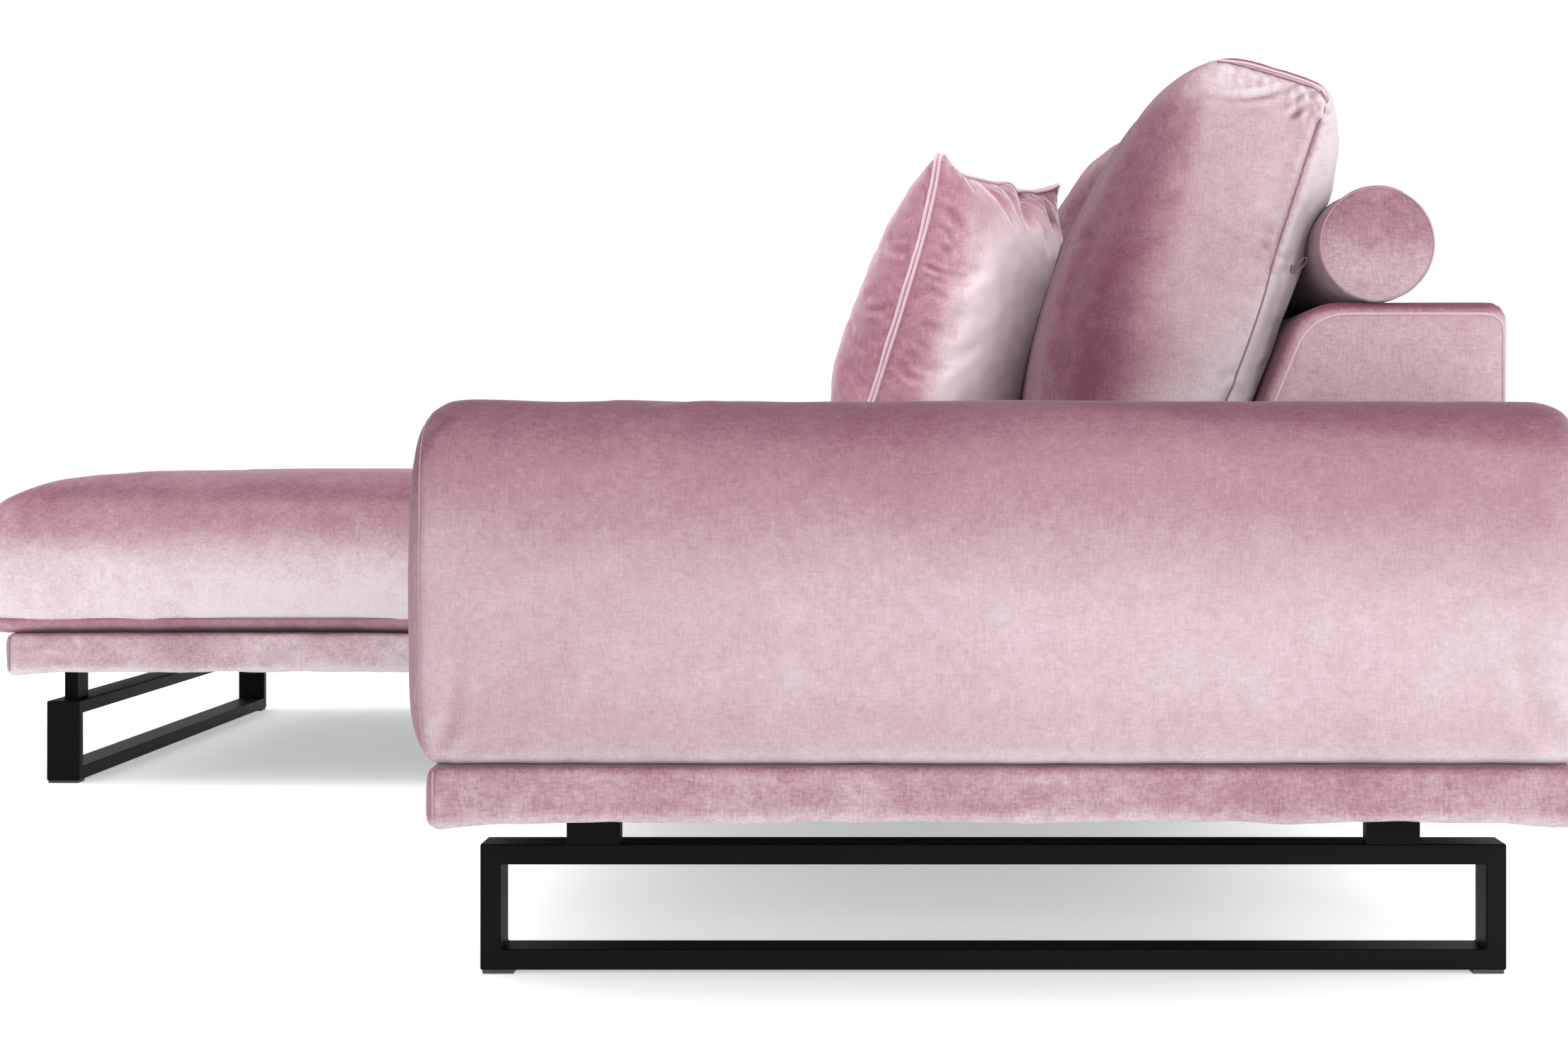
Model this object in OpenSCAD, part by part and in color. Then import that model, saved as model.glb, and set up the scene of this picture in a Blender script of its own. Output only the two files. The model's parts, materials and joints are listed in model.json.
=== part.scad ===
// Lounge sofa with a chaise: two upholstered bases on sled legs, one arm, two low back
// blocks, and loose seat, back, bolster and throw cushions. Millimetres, +Z up. The front
// faces -Y, the arm is at the +X end and the chaise at the -X end. The origin is on the
// floor at the middle of the outline.

/* [Plan] */
// Width of the seat between the arm and the chaise
seat_w = 1373; // [1150:1:1800]
// Width of the chaise module
chaise_w = 1297; // [900:1:1500]
// Depth of the seat module, front edge to back
seat_d = 1020; // [930:1:1150]
// Length of the chaise module, front edge to back
chaise_l = 1955; // [1500:1:2200]
// Gap between the two modules
module_gap = 2; // [1:0.5:6]

/* [Bases] */
// Height of the underside of both bases above the floor
base_z = 175; // [140:1:230]
// Height of the seat module's base
seat_base_h = 50; // [48:1:80]
// Height of the chaise's base
chaise_base_h = 58; // [50:1:90]
// Thickness of the padded cloth on the sides of a base
base_skin = 7; // [4:0.5:12]
// Corner radius of a base seen from above
base_corner_r = 18; // [10:1:40]
// Width of the rails round a base frame
rail_w = 30; // [22:1:45]
// Width of the flat rail that carries a leg
leg_rail_w = 90; // [80:1:120]
// Height of the rails of a base frame
rail_h = 38; // [34:1:38]
// Width of one webbing strap
strap_w = 50; // [30:1:70]
// Thickness of one webbing strap
strap_t = 2; // [1:0.5:2]
// Distance from strap to strap
strap_pitch = 105; // [80:1:160]
// Thickness of the dust cloth
dust_cloth_t = 2; // [1:0.5:2]

/* [Arm] */
// Width of the arm
arm_w = 250; // [180:1:300]
// Height of the arm's top above the floor
arm_top_z = 553; // [520:1:620]
// Radius along the arm's top edges
arm_top_r = 62; // [30:1:80]
// How far the arm's front seam stands ahead of the base
arm_front_reach = 8; // [0:1:14]
// How far the arm's end panels swell beyond their seams
arm_crown = 18; // [8:1:26]
// Thickness of the arm's padded cover
arm_cover_t = 28; // [20:1:34]
// Thickness of the arm's foam
arm_foam_t = 18; // [10:1:25]
// Thickness of the arm's boards
board_t = 18; // [12:1:22]

/* [Back blocks] */
// Depth of a back block at the seat
block_d = 278; // [240:1:320]
// Height of a back block's top above the floor
block_top_z = 654; // [620:1:700]
// Lean of the block's front above the seat, from upright
block_lean = 24; // [16:1:28]
// Radius of the block's front top edge
block_front_r = 52; // [35:1:60]
// Radius of the block's rear top edge
block_rear_r = 16; // [8:1:24]
// How far the wrap of a block swells beyond the seam of its end panel
block_swell = 11; // [4:1:16]
// Thickness of a block's padded cover
block_cover_t = 30; // [22:1:36]

/* [Legs] */
// Length of the leg under the arm and of the middle leg
seat_leg_l = 995; // [800:1:1100]
// Length of the two legs under the chaise
chaise_leg_l = 1170; // [800:1:1200]
// Width of the leg tube across the leg
tube_w = 50; // [40:1:60]
// Thickness of the leg tube in the plane of the leg
tube_t = 20; // [15:1:30]
// Wall of the leg tube
tube_wall = 2; // [1.5:0.25:3]
// Height of a glide under a leg post
glide_h = 4; // [3:0.5:6]
// Height of a leg frame without its glides
leg_h = 122; // [95:1:124]
// Distance of the leg under the arm from the outer side of the base
seat_leg_inset = 206; // [150:1:230]
// Distance of a chaise leg from the front or rear edge of its base
chaise_leg_inset = 39; // [35:1:120]
// Length of a leg stub along the leg
stub_l = 52; // [40:1:70]
// Thickness of a leg stub across the leg
stub_t = 20; // [14:1:30]
// Distance from the leg's end to the middle of a stub under the seat
seat_stub_inset = 110; // [70:1:200]
// Distance from the leg's end to the middle of a stub under the chaise
chaise_stub_inset = 66; // [66:1:200]
// Length of the mounting plate on a stub
plate_l = 116; // [100:1:130]
// Thickness of the mounting plate
plate_t = 4; // [3:0.5:4]
// Radius of the wood screws in the plates
screw_r = 3; // [2.5:0.25:4]

/* [Seat cushions] */
// Height of the seat cushions' tops above the floor
seat_top_z = 478; // [440:1:500]
// How far the seat cushions stand ahead of the bases
cushion_overhang = 32; // [10:1:45]
// Gap between a seat cushion and what stands beside it
cushion_gap = 3; // [1:0.5:8]
// How far back the front shoulder of a seat cushion runs
shoulder_front = 320; // [150:1:400]
// How far in the side shoulders of a seat cushion run
shoulder_side = 190; // [90:1:250]
// How far the shoulders drop before the upright side
shoulder_drop = 105; // [60:1:130]
// Thickness of a cushion's cover with its fibre wrap
wrap_t = 36; // [30:1:45]

/* [Back cushions] */
// Height of a back cushion above the seat
back_cushion_h = 427; // [380:1:480]
// Thickness of a back cushion at its seams
back_cushion_t = 154; // [130:1:180]
// Lean of the back cushions from upright
back_lean = 18.5; // [12:0.5:22]
// How far the front of a back cushion swells
back_front_swell = 25; // [8:1:32]
// How far the rear of a back cushion swells
back_rear_swell = 32; // [8:1:36]
// How far the top of a back cushion swells
back_top_swell = 16; // [4:1:24]
// How far the side panels of a back cushion swell
back_side_swell = 9; // [3:1:12]
// Gap between the arm and the first back cushion
back_arm_gap = 59; // [20:1:90]
// Gap between two back cushions
back_cushion_gap = 26; // [20:1:40]

/* [Bolsters] */
// Radius of a bolster
bolster_r = 58; // [45:1:70]
// Distance of the bolster's axis from the rear of the block
bolster_back = 128; // [110:1:150]
// Radius round the ends of a bolster
bolster_end_r = 16; // [8:1:24]
// Thickness of a bolster's padded cover
bolster_cover_t = 12; // [6:1:20]

/* [Throw pillow] */
// Width and height of the pillow from ear to ear
pillow_size = 375; // [330:1:400]
// Thickness of the pillow at its middle
pillow_t = 190; // [150:1:200]
// Turn of the pillow about the upright
pillow_turn = 24; // [10:1:26]
// Lean of the pillow from upright
pillow_lean = 16.5; // [10:0.5:20]
// Distance of the pillow's middle from the arm
pillow_from_arm = 505; // [420:1:600]
// How far the pillow's sides pull in between its ears
pillow_draw = 16; // [6:1:24]

/* [Hidden] */
$fn = 48;

velvet = [0.80, 0.64, 0.68];
velvet_dark = [0.68, 0.50, 0.55];
steel_black = [0.13, 0.14, 0.14];
timber = [0.80, 0.66, 0.46];
foam = [0.93, 0.90, 0.80];
cloth_black = [0.08, 0.08, 0.08];
zinc = [0.72, 0.73, 0.75];

// One overrun for every cut, and the small gaps that keep loose pieces apart
cut = 1;
rest_gap = 0.3;
inner_gap = 0.5;

// Outline of the whole sofa
total_w = chaise_w + module_gap + seat_w + arm_w;
rear_crown = 9;
total_d = chaise_l + cushion_overhang + rear_crown;
chaise_x0 = -total_w / 2;
chaise_x1 = chaise_x0 + chaise_w;
seat_x0 = chaise_x1 + module_gap;
seat_x1 = total_w / 2;
arm_x0 = seat_x1 - arm_w;
rear_y = total_d / 2 - rear_crown;
seat_front_y = rear_y - seat_d;
chaise_front_y = rear_y - chaise_l;
block_front_y = rear_y - block_d;
seat_base_top = base_z + seat_base_h;
chaise_base_top = base_z + chaise_base_h;
leg_top_z = glide_h + leg_h;
frame_z = base_z + plate_t;
web_z = frame_z + rail_h;

// Skins
// A closed skin through rings of equal counts, with a fan of triangles at each end
module skin(rings) {
    n = len(rings[0]);
    last = len(rings) - 1;
    points = [for (r = rings) each r, middle(rings[0]), middle(rings[last])];
    first_pole = len(points) - 2;
    sides = [for (i = [0 : last - 1], j = [0 : n - 1])
        let (a = i * n + j, b = i * n + (j + 1) % n)
        each [[a, b, b + n], [a, b + n, a + n]]];
    ends = [for (j = [0 : n - 1])
        each [[first_pole, (j + 1) % n, j],
              [first_pole + 1, last * n + j, last * n + (j + 1) % n]]];
    polyhedron(points, concat(sides, ends));
}

function middle(ring) = [for (k = [0 : 2]) (max([for (p = ring) p[k]]) + min([for (p = ring) p[k]])) / 2];

function arc(centre, r, from, to, steps) =
    [for (i = [0 : steps]) centre + r * [cos(from + (to - from) * i / steps),
                                         sin(from + (to - from) * i / steps)]];

// Ends of a crowned prism: the end panel swells as the outline shrinks to its middle
panel_shares = [[0.30, 0.92], [0.66, 0.62], [0.90, 0.25]];

// Places along a crowned prism, from an end to the middle: [share of half the length, fullness]
swell_shares = [[0, 0], [0.03, 0.34], [0.10, 0.60], [0.24, 0.84], [0.52, 0.97]];

// Rings of a prism along X: outline(fullness) comes in as a list, one outline for each swell share
function shrink(outline, share) =
    let (c = middle([for (p = outline) [p.x, p.y, 0]]))
    [for (p = outline) [c.x + (p.x - c.x) * share, c.y + (p.y - c.y) * share]];

function prism_rings(x0, x1, swell, outlines) =
    let (half = (x1 - x0) / 2, mid = (x0 + x1) / 2, count = len(swell_shares),
         cap = [for (s = panel_shares) [swell * s[1], shrink(outlines[0], s[0])]],
         half_rings = concat(
            [for (c = cap) [half + c[0], c[1]]],
            [for (k = [0 : count - 1]) [half * (1 - swell_shares[k][0]), outlines[k]]]))
    concat(
        [for (r = half_rings) [for (p = r[1]) [mid - r[0], p.x, p.y]]],
        [for (k = [len(half_rings) - 1 : -1 : 0])
            [for (p = half_rings[k][1]) [mid + half_rings[k][0], p.x, p.y]]]);

// Bases
module rounded_plate(x0, x1, y0, y1, h, r) {
    linear_extrude(h) union() {
        translate([x0 + r, y0]) square([x1 - x0 - 2 * r, y1 - y0]);
        translate([x0, y0 + r]) square([x1 - x0, y1 - y0 - 2 * r]);
        for (x = [x0 + r, x1 - r], y = [y0 + r, y1 - r]) translate([x, y]) circle(r);
    }
}

// A padded cloth box, open below, over a base frame
module base_cover(x0, x1, y0, y1, h) {
    color(velvet) difference() {
        translate([0, 0, base_z]) rounded_plate(x0, x1, y0, y1, h, base_corner_r);
        translate([x0 + base_skin, y0 + base_skin, base_z - cut])
            cube([x1 - x0 - 2 * base_skin, y1 - y0 - 2 * base_skin, base_inner_h + cut]);
        for (p = bolt_places) translate([p.x, p.y, base_z])
            cylinder(r = bolt_r + inner_gap, h = h + cut);
    }
}
base_inner_h = plate_t + rail_h + 2 * strap_t + inner_gap;

module dust_cloth(x0, x1, y0, y1) {
    color(cloth_black) difference() {
        translate([x0 + base_edge, y0 + base_edge, frame_z - dust_cloth_t])
            cube([x1 - x0 - 2 * base_edge, y1 - y0 - 2 * base_edge, dust_cloth_t]);
        for (s = stubs) at_stub(s)
            translate([-plate_l / 2 - inner_gap, -plate_w / 2 - inner_gap, base_z - cut])
            cube([plate_l + 2 * inner_gap, plate_w + 2 * inner_gap, plate_t + cut]);
        for (p = connector_holes) translate([p.x, p.y, base_z])
            cylinder(r = screw_r + inner_gap, h = plate_t + cut);
    }
}

// Rails round the edge, cross rails over the legs, and the holes for what is screwed to them
module base_frame(x0, x1, y0, y1, rails) {
    color(timber) difference() {
        translate([0, 0, frame_z]) union() {
            for (x = [x0 + base_edge, x1 - base_edge - rail_w]) translate([x, y0 + base_edge, 0])
                cube([rail_w, y1 - y0 - 2 * base_edge, rail_h]);
            for (y = [y0 + base_edge, y1 - base_edge - rail_w]) translate([x0 + base_edge, y, 0])
                cube([x1 - x0 - 2 * base_edge, rail_w, rail_h]);
            for (r = rails) translate([r[0], r[1], 0]) cube([r[2], r[3], rail_h]);
        }
        for (p = plate_screws) translate([p.x, p.y, frame_z - cut])
            cylinder(r = screw_r + hole_play, h = screw_bite + cut);
        for (p = connector_holes) translate([p.x, p.y, frame_z - cut])
            cylinder(r = screw_r + hole_play, h = screw_bite + cut);
        for (p = bolt_places) translate([p.x, p.y, frame_z - cut])
            cylinder(r = bolt_r + hole_play, h = rail_h + 2 * cut);
        for (p = bolt_places) translate([p.x, p.y, frame_z - cut])
            cylinder(r = bolt_head_r + inner_gap, h = bolt_head_h + cut);
    }
}
hole_play = 0.05;

seat_leg_y = (seat_front_y + rear_y) / 2;
arm_leg_x = seat_x1 - seat_leg_inset - tube_w / 2;
middle_leg_x = seat_x0 + seat_leg_inset + tube_w / 2;
chaise_leg_x = (chaise_x0 + chaise_x1) / 2;
front_leg_y = chaise_front_y + chaise_leg_inset + tube_w / 2;
rear_leg_y = rear_y - chaise_leg_inset - tube_w / 2;
base_edge = base_skin + inner_gap;

// Bolts that hold the arm and the back blocks down on the bases
bolt_r = 4;
bolt_head_r = 9;
bolt_head_h = 6;
bolt_bite = 40;
arm_frame_x0 = arm_x0 + arm_cover_t + arm_foam_t + 2 * inner_gap;
arm_frame_x1 = seat_x1 - arm_cover_t - arm_foam_t - 2 * inner_gap;
arm_bolt_share = [0.15, 0.80];
arm_bolt_places = [for (s = arm_bolt_share, x = [arm_frame_x0 + board_t / 2, arm_frame_x1 - board_t / 2])
    [x, seat_front_y + s * seat_d]];
block_bolt_share = [0.12, 0.45, 0.88];
block_bolt_y = block_front_y + block_cover_t + block_swell + inner_gap + board_t / 2;
block_rail_y = block_bolt_y - rail_w / 2;
web_rear_y = block_bolt_y - bolt_head_r;
seat_block_bolts = [for (s = block_bolt_share) [seat_x0 + s * (arm_x0 - seat_x0), block_bolt_y]];
chaise_block_bolts = [for (s = block_bolt_share) [chaise_x0 + s * chaise_w, block_bolt_y]];
bolt_places = concat(arm_bolt_places, seat_block_bolts, chaise_block_bolts);

seat_rails = [
    for (x = [arm_leg_x, middle_leg_x])
        [x - leg_rail_w / 2, seat_front_y + base_edge, leg_rail_w, seat_d - 2 * base_edge],
    [arm_frame_x1 - board_t / 2 - rail_w / 2, seat_front_y + base_edge, rail_w, seat_d - 2 * base_edge],
    [seat_x0 + base_edge, block_rail_y, seat_x1 - seat_x0 - 2 * base_edge, rail_w]
];
chaise_rails = [
    for (y = [front_leg_y, rear_leg_y])
        [chaise_x0 + base_edge, y - leg_rail_w / 2, chaise_w - 2 * base_edge, leg_rail_w],
    [chaise_x0 + base_edge, block_rail_y, chaise_w - 2 * base_edge, rail_w],
    [chaise_x0 + base_edge, seat_front_y, chaise_w - 2 * base_edge, rail_w]
];

module seat_base_frame() { base_frame(seat_x0, seat_x1, seat_front_y, rear_y, seat_rails); }
module seat_base_cover() { base_cover(seat_x0, seat_x1, seat_front_y, rear_y, seat_base_h); }
module seat_base_dust_cloth() { dust_cloth(seat_x0, seat_x1, seat_front_y, rear_y); }
module chaise_base_frame() { base_frame(chaise_x0, chaise_x1, chaise_front_y, rear_y, chaise_rails); }
module chaise_base_cover() { base_cover(chaise_x0, chaise_x1, chaise_front_y, rear_y, chaise_base_h); }
module chaise_base_dust_cloth() { dust_cloth(chaise_x0, chaise_x1, chaise_front_y, rear_y); }

// Straps from front to back, and a second layer across them
module webbing(x0, x1, y0, y1) {
    across = floor((x1 - x0 - strap_w) / strap_pitch);
    along = floor((y1 - y0 - strap_w) / strap_pitch);
    color(cloth_black) union() {
        for (i = [0 : across]) translate([x0 + (x1 - x0 - strap_w) * i / across, y0, web_z])
            cube([strap_w, y1 - y0, strap_t]);
        for (i = [0 : along]) translate([x0, y0 + (y1 - y0 - strap_w) * i / along, web_z + strap_t])
            cube([x1 - x0, strap_w, strap_t]);
    }
}
module seat_base_webbing() {
    webbing(seat_x0 + base_edge, arm_x0 - base_edge, seat_front_y + base_edge, web_rear_y);
}
module chaise_base_webbing() {
    webbing(chaise_x0 + base_edge, chaise_x1 - base_edge, chaise_front_y + base_edge, web_rear_y);
}

// Legs
// Four mitred tubes welded into an upright frame, along X from the middle
module leg_frame(l) {
    color(steel_black) translate([-l / 2, tube_w / 2, glide_h]) rotate([90, 0, 0])
        for (side = [0 : 3]) leg_tube(l, side);
}
function loop_corner(l, inset, k) =
    [[inset, inset], [l - inset, inset], [l - inset, leg_h - inset], [inset, leg_h - inset]][k % 4];
module leg_tube(l, side) {
    long_x = side % 2 == 0;
    void_h = tube_t - 2 * tube_wall;
    void_x = long_x ? -cut : (side == 1 ? l - tube_t + tube_wall : tube_wall);
    void_y = long_x ? (side == 0 ? tube_wall : leg_h - tube_t + tube_wall) : -cut;
    difference() {
        linear_extrude(tube_w) polygon([
            loop_corner(l, 0, side), loop_corner(l, 0, side + 1),
            loop_corner(l, tube_t, side + 1), loop_corner(l, tube_t, side)]);
        translate([void_x, void_y, tube_wall])
            cube([long_x ? l + 2 * cut : void_h, long_x ? void_h : leg_h + 2 * cut,
                  tube_w - 2 * tube_wall]);
    }
}
module arm_leg() { translate([arm_leg_x, seat_leg_y, 0]) rotate([0, 0, 90]) leg_frame(seat_leg_l); }
module middle_leg() { translate([middle_leg_x, seat_leg_y, 0]) rotate([0, 0, 90]) leg_frame(seat_leg_l); }
module chaise_front_leg() { translate([chaise_leg_x, front_leg_y, 0]) leg_frame(chaise_leg_l); }
module chaise_rear_leg() { translate([chaise_leg_x, rear_leg_y, 0]) leg_frame(chaise_leg_l); }

// A stub is [x, y, turn]; the stubs under the seat stand flush with the leg's outer face
stub_shift = (tube_w - stub_t) / 2;
seat_stub_y = seat_leg_l / 2 - seat_stub_inset;
chaise_stub_x = chaise_leg_l / 2 - chaise_stub_inset;
stubs = [
    for (s = [-1, 1]) [arm_leg_x + stub_shift, seat_leg_y + s * seat_stub_y, 90],
    for (s = [-1, 1]) [middle_leg_x - stub_shift, seat_leg_y + s * seat_stub_y, 90],
    for (s = [-1, 1], y = [front_leg_y, rear_leg_y]) [chaise_leg_x + s * chaise_stub_x, y, 0]
];
plate_w = tube_w;
plate_screw_x = plate_l / 2 - (plate_l - stub_l) / 4;
plate_screws = [for (s = stubs, side = [-1, 1])
    [s.x + side * plate_screw_x * cos(s[2]), s.y + side * plate_screw_x * sin(s[2])]];
module at_stub(s) { translate([s.x, s.y, 0]) rotate([0, 0, s[2]]) children(); }

module leg_brackets() {
    color(steel_black) for (s = stubs) at_stub(s) difference() {
        union() {
            translate([-stub_l / 2, -stub_t / 2, leg_top_z])
                cube([stub_l, stub_t, base_z - leg_top_z + plate_t]);
            translate([-plate_l / 2, -plate_w / 2, base_z]) cube([plate_l, plate_w, plate_t]);
        }
        for (side = [-1, 1]) translate([side * plate_screw_x, 0, base_z - cut])
            cylinder(r = screw_r + inner_gap, h = plate_t + 2 * cut);
    }
}

screw_bite_share = 0.75;
screw_bite = rail_h * screw_bite_share;
screw_head_r = 2 * screw_r;
screw_head_h = screw_r;
module screw_up(x, y, under_z) {
    translate([x, y, under_z - screw_head_h]) cylinder(r = screw_head_r, h = screw_head_h);
    translate([x, y, under_z - screw_head_h / 2])
        cylinder(r = screw_r, h = frame_z + screw_bite - inner_gap - under_z + screw_head_h / 2);
}
module leg_screws() { color(zinc) for (p = plate_screws) screw_up(p.x, p.y, base_z); }

glide_l = 1.5 * tube_t;
module leg_glides() {
    color(cloth_black) {
        for (x = [arm_leg_x, middle_leg_x], s = [-1, 1])
            translate([x, seat_leg_y + s * (seat_leg_l / 2 - glide_l / 2 - tube_wall), 0]) glide(90);
        for (y = [front_leg_y, rear_leg_y], s = [-1, 1])
            translate([chaise_leg_x + s * (chaise_leg_l / 2 - glide_l / 2 - tube_wall), y, 0]) glide(0);
    }
}
module glide(turn) {
    rotate([0, 0, turn]) translate([-glide_l / 2, -tube_w / 2 + tube_wall, 0])
        cube([glide_l, tube_w - 2 * tube_wall, glide_h]);
}

// Module connectors: plates under the joint, screwed up into the side rails of both frames
connector_t = 3;
connector_l = 2 * (base_edge + rail_w) + module_gap;
connector_w = 60;
connector_x = (chaise_x1 + seat_x0) / 2;
connector_share = [0.22, 0.72];
connector_ys = [for (s = connector_share) seat_front_y + s * seat_d];
connector_holes = [for (y = connector_ys, side = [-1, 1], row = [-1, 1])
    [connector_x + side * (module_gap / 2 + base_edge + rail_w / 2), y + row * connector_w / 4]];
module connector_plates() {
    color(zinc) for (y = connector_ys) difference() {
        translate([connector_x - connector_l / 2, y - connector_w / 2, base_z - connector_t])
            cube([connector_l, connector_w, connector_t]);
        for (p = connector_holes) translate([p.x, p.y, base_z - connector_t - cut])
            cylinder(r = screw_r + inner_gap, h = connector_t + 2 * cut);
    }
}
module connector_screws() {
    color(zinc) for (p = connector_holes) screw_up(p.x, p.y, base_z - connector_t);
}

// A bolt with its head let into the rail, up to its bite in a board above the base
module bolt_up(place, seat_z) {
    translate([place.x, place.y, frame_z]) cylinder(r = bolt_head_r, h = bolt_head_h);
    translate([place.x, place.y, frame_z]) cylinder(r = bolt_r, h = seat_z + bolt_bite - frame_z);
}
module arm_bolts() { color(zinc) for (p = arm_bolt_places) bolt_up(p, seat_base_top); }
module back_bolts() {
    color(zinc) {
        for (p = seat_block_bolts) bolt_up(p, seat_base_top);
        for (p = chaise_block_bolts) bolt_up(p, chaise_base_top);
    }
}
module bolt_holes(places, seat_z) {
    for (p = places) translate([p.x, p.y, seat_z - cut])
        cylinder(r = bolt_r + hole_play, h = bolt_bite + inner_gap + cut);
}

// Arm
arm_mid_x = (arm_x0 + seat_x1) / 2;
arm_y0 = seat_front_y - arm_front_reach;
arm_y1 = rear_y + rear_crown - arm_crown;
arm_swell = 8;
arm_tuck = 6;
arm_side_shares = [0.12, 0.5];

function arm_outline(fullness) =
    let (half = arm_w / 2 - (1 - fullness) * arm_swell,
         top = arm_top_z - (1 - fullness) * arm_swell,
         side = [for (s = arm_side_shares) seat_base_top + s * (top - arm_top_r - seat_base_top)])
    [
        [-half + arm_tuck, seat_base_top],
        for (z = side) [-half, z],
        each arc([-half + arm_top_r, top - arm_top_r], arm_top_r, 180, 90, 5),
        each arc([half - arm_top_r, top - arm_top_r], arm_top_r, 90, 0, 5),
        for (k = [len(side) - 1 : -1 : 0]) [half, side[k]],
        [half - arm_tuck, seat_base_top],
        [0, seat_base_top]
    ];

module arm_box(inset, top_inset, z0) {
    y0 = arm_y0 + inset;
    translate([arm_x0 + inset, y0, z0])
        cube([arm_w - 2 * inset, arm_y1 - inset - y0, arm_top_z - top_inset - z0]);
}
module arm_cover() {
    color(velvet) difference() {
        translate([arm_mid_x, 0, 0]) rotate([0, 0, 90])
            skin(prism_rings(arm_y0, arm_y1, arm_crown, [for (s = swell_shares) arm_outline(s[1])]));
        arm_box(arm_cover_t, arm_cover_t, seat_base_top - cut);
    }
}
arm_foam_out = arm_cover_t + inner_gap;
arm_foam_in = arm_foam_out + arm_foam_t;
arm_board_out = arm_foam_in + inner_gap;
arm_board_in = arm_board_out + board_t;
module arm_foam() {
    color(foam) difference() {
        arm_box(arm_foam_out, arm_foam_out, seat_base_top);
        arm_box(arm_foam_in, arm_foam_in, seat_base_top - cut);
    }
}
arm_rib_share = [0.33, 0.67];
module arm_frame() {
    color(timber) difference() {
        union() {
            difference() {
                arm_box(arm_board_out, arm_board_out, seat_base_top);
                arm_box(arm_board_in, arm_board_in, seat_base_top - cut);
            }
            for (s = arm_rib_share)
                translate([arm_frame_x0, arm_y0 + s * (arm_y1 - arm_y0), seat_base_top])
                    cube([arm_frame_x1 - arm_frame_x0, board_t, arm_top_z - arm_board_out - seat_base_top]);
        }
        bolt_holes(arm_bolt_places, seat_base_top);
    }
}

// Back blocks
block_panel_swell = 6;
block_arm_gap = 3;
seat_block_x0 = seat_x0 + block_panel_swell;
seat_block_x1 = arm_x0 - block_arm_gap - block_panel_swell;
chaise_block_x0 = chaise_x0 + block_panel_swell;
chaise_block_x1 = chaise_x1 - block_panel_swell;

// Outline from the side: upright to the seat, then leaning back to a rounded top
function block_outline(base_top, fullness) =
    let (inset = (1 - fullness) * block_swell,
         front = block_front_y + inset,
         top = block_top_z - inset,
         rear = rear_y - inset,
         front_arc_z = top - block_front_r,
         front_arc_y = front + (front_arc_z - seat_top_z) * tan(block_lean)
             + block_front_r / cos(block_lean))
    [
        [front, base_top],
        [front, (base_top + seat_top_z) / 2],
        [front, seat_top_z],
        each arc([front_arc_y, front_arc_z], block_front_r, 180 - block_lean, 90, 5),
        each arc([rear - block_rear_r, top - block_rear_r], block_rear_r, 90, 0, 4),
        [rear, (base_top + top) / 2],
        [rear, base_top],
        [(front + rear) / 2, base_top]
    ];

// The room inside a block: its outline moved in by a margin, as five straight sides
module block_core(base_top, margin, z0) {
    front = block_front_y + margin;
    top = block_top_z - margin;
    polygon([
        [front, z0],
        [front, seat_top_z],
        [front + (top - seat_top_z) * tan(block_lean) + margin * (1 / cos(block_lean) - 1), top],
        [rear_y - margin, top],
        [rear_y - margin, z0]
    ]);
}
module along_x(x0, x1) {
    translate([x0, 0, 0]) rotate([90, 0, 90]) linear_extrude(x1 - x0) children();
}
block_room = block_cover_t + block_swell;
module block_cover(x0, x1, base_top) {
    color(velvet) difference() {
        skin(prism_rings(x0, x1, block_panel_swell,
                         [for (s = swell_shares) block_outline(base_top, s[1])]));
        along_x(x0 + block_cover_t, x1 - block_cover_t) block_core(base_top, block_room, base_top - cut);
    }
}
block_rib_share = [0.25, 0.5, 0.75];
module block_frame(x0, x1, base_top, bolts) {
    inset = block_room + inner_gap;
    fx0 = x0 + block_cover_t + inner_gap;
    fx1 = x1 - block_cover_t - inner_gap;
    color(timber) difference() {
        union() {
            for (shift = [[board_t, 0], [-board_t, 0], [0, -board_t]]) along_x(fx0, fx1) difference() {
                block_core(base_top, inset, base_top);
                translate(shift) block_core(base_top, inset, base_top - board_t - cut);
            }
            for (s = [0, each block_rib_share, 1])
                let (rx = fx0 + s * (fx1 - fx0 - board_t))
                along_x(rx, rx + board_t) block_core(base_top, inset, base_top);
        }
        bolt_holes(bolts, base_top);
    }
}
module seat_back_cover() { block_cover(seat_block_x0, seat_block_x1, seat_base_top); }
module seat_back_frame() { block_frame(seat_block_x0, seat_block_x1, seat_base_top, seat_block_bolts); }
module chaise_back_cover() { block_cover(chaise_block_x0, chaise_block_x1, chaise_base_top); }
module chaise_back_frame() {
    block_frame(chaise_block_x0, chaise_block_x1, chaise_base_top, chaise_block_bolts);
}

// Seat cushions
// Each shoulder row is [share of the run in from the side, share of the drop]
shoulder_shares = [[0, 1], [0.012, 0.74], [0.035, 0.56], [0.07, 0.43], [0.144, 0.324], [0.25, 0.21],
                   [0.375, 0.133], [0.5, 0.095], [0.64, 0.061], [0.83, 0.03], [1, 0]];
// Each foot row is [share of the tuck, share of the strip's height]
foot_shares = [[1, 0], [0.45, 0.35], [0.25, 1], [0, 2.6]];
foot_tuck = 14;
strip_h = 17;
shoulder_rear = 28;
seat_corner_r = 55;
seat_draw = 7;
side_places = [-0.5, 0, 0.5];

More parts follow.
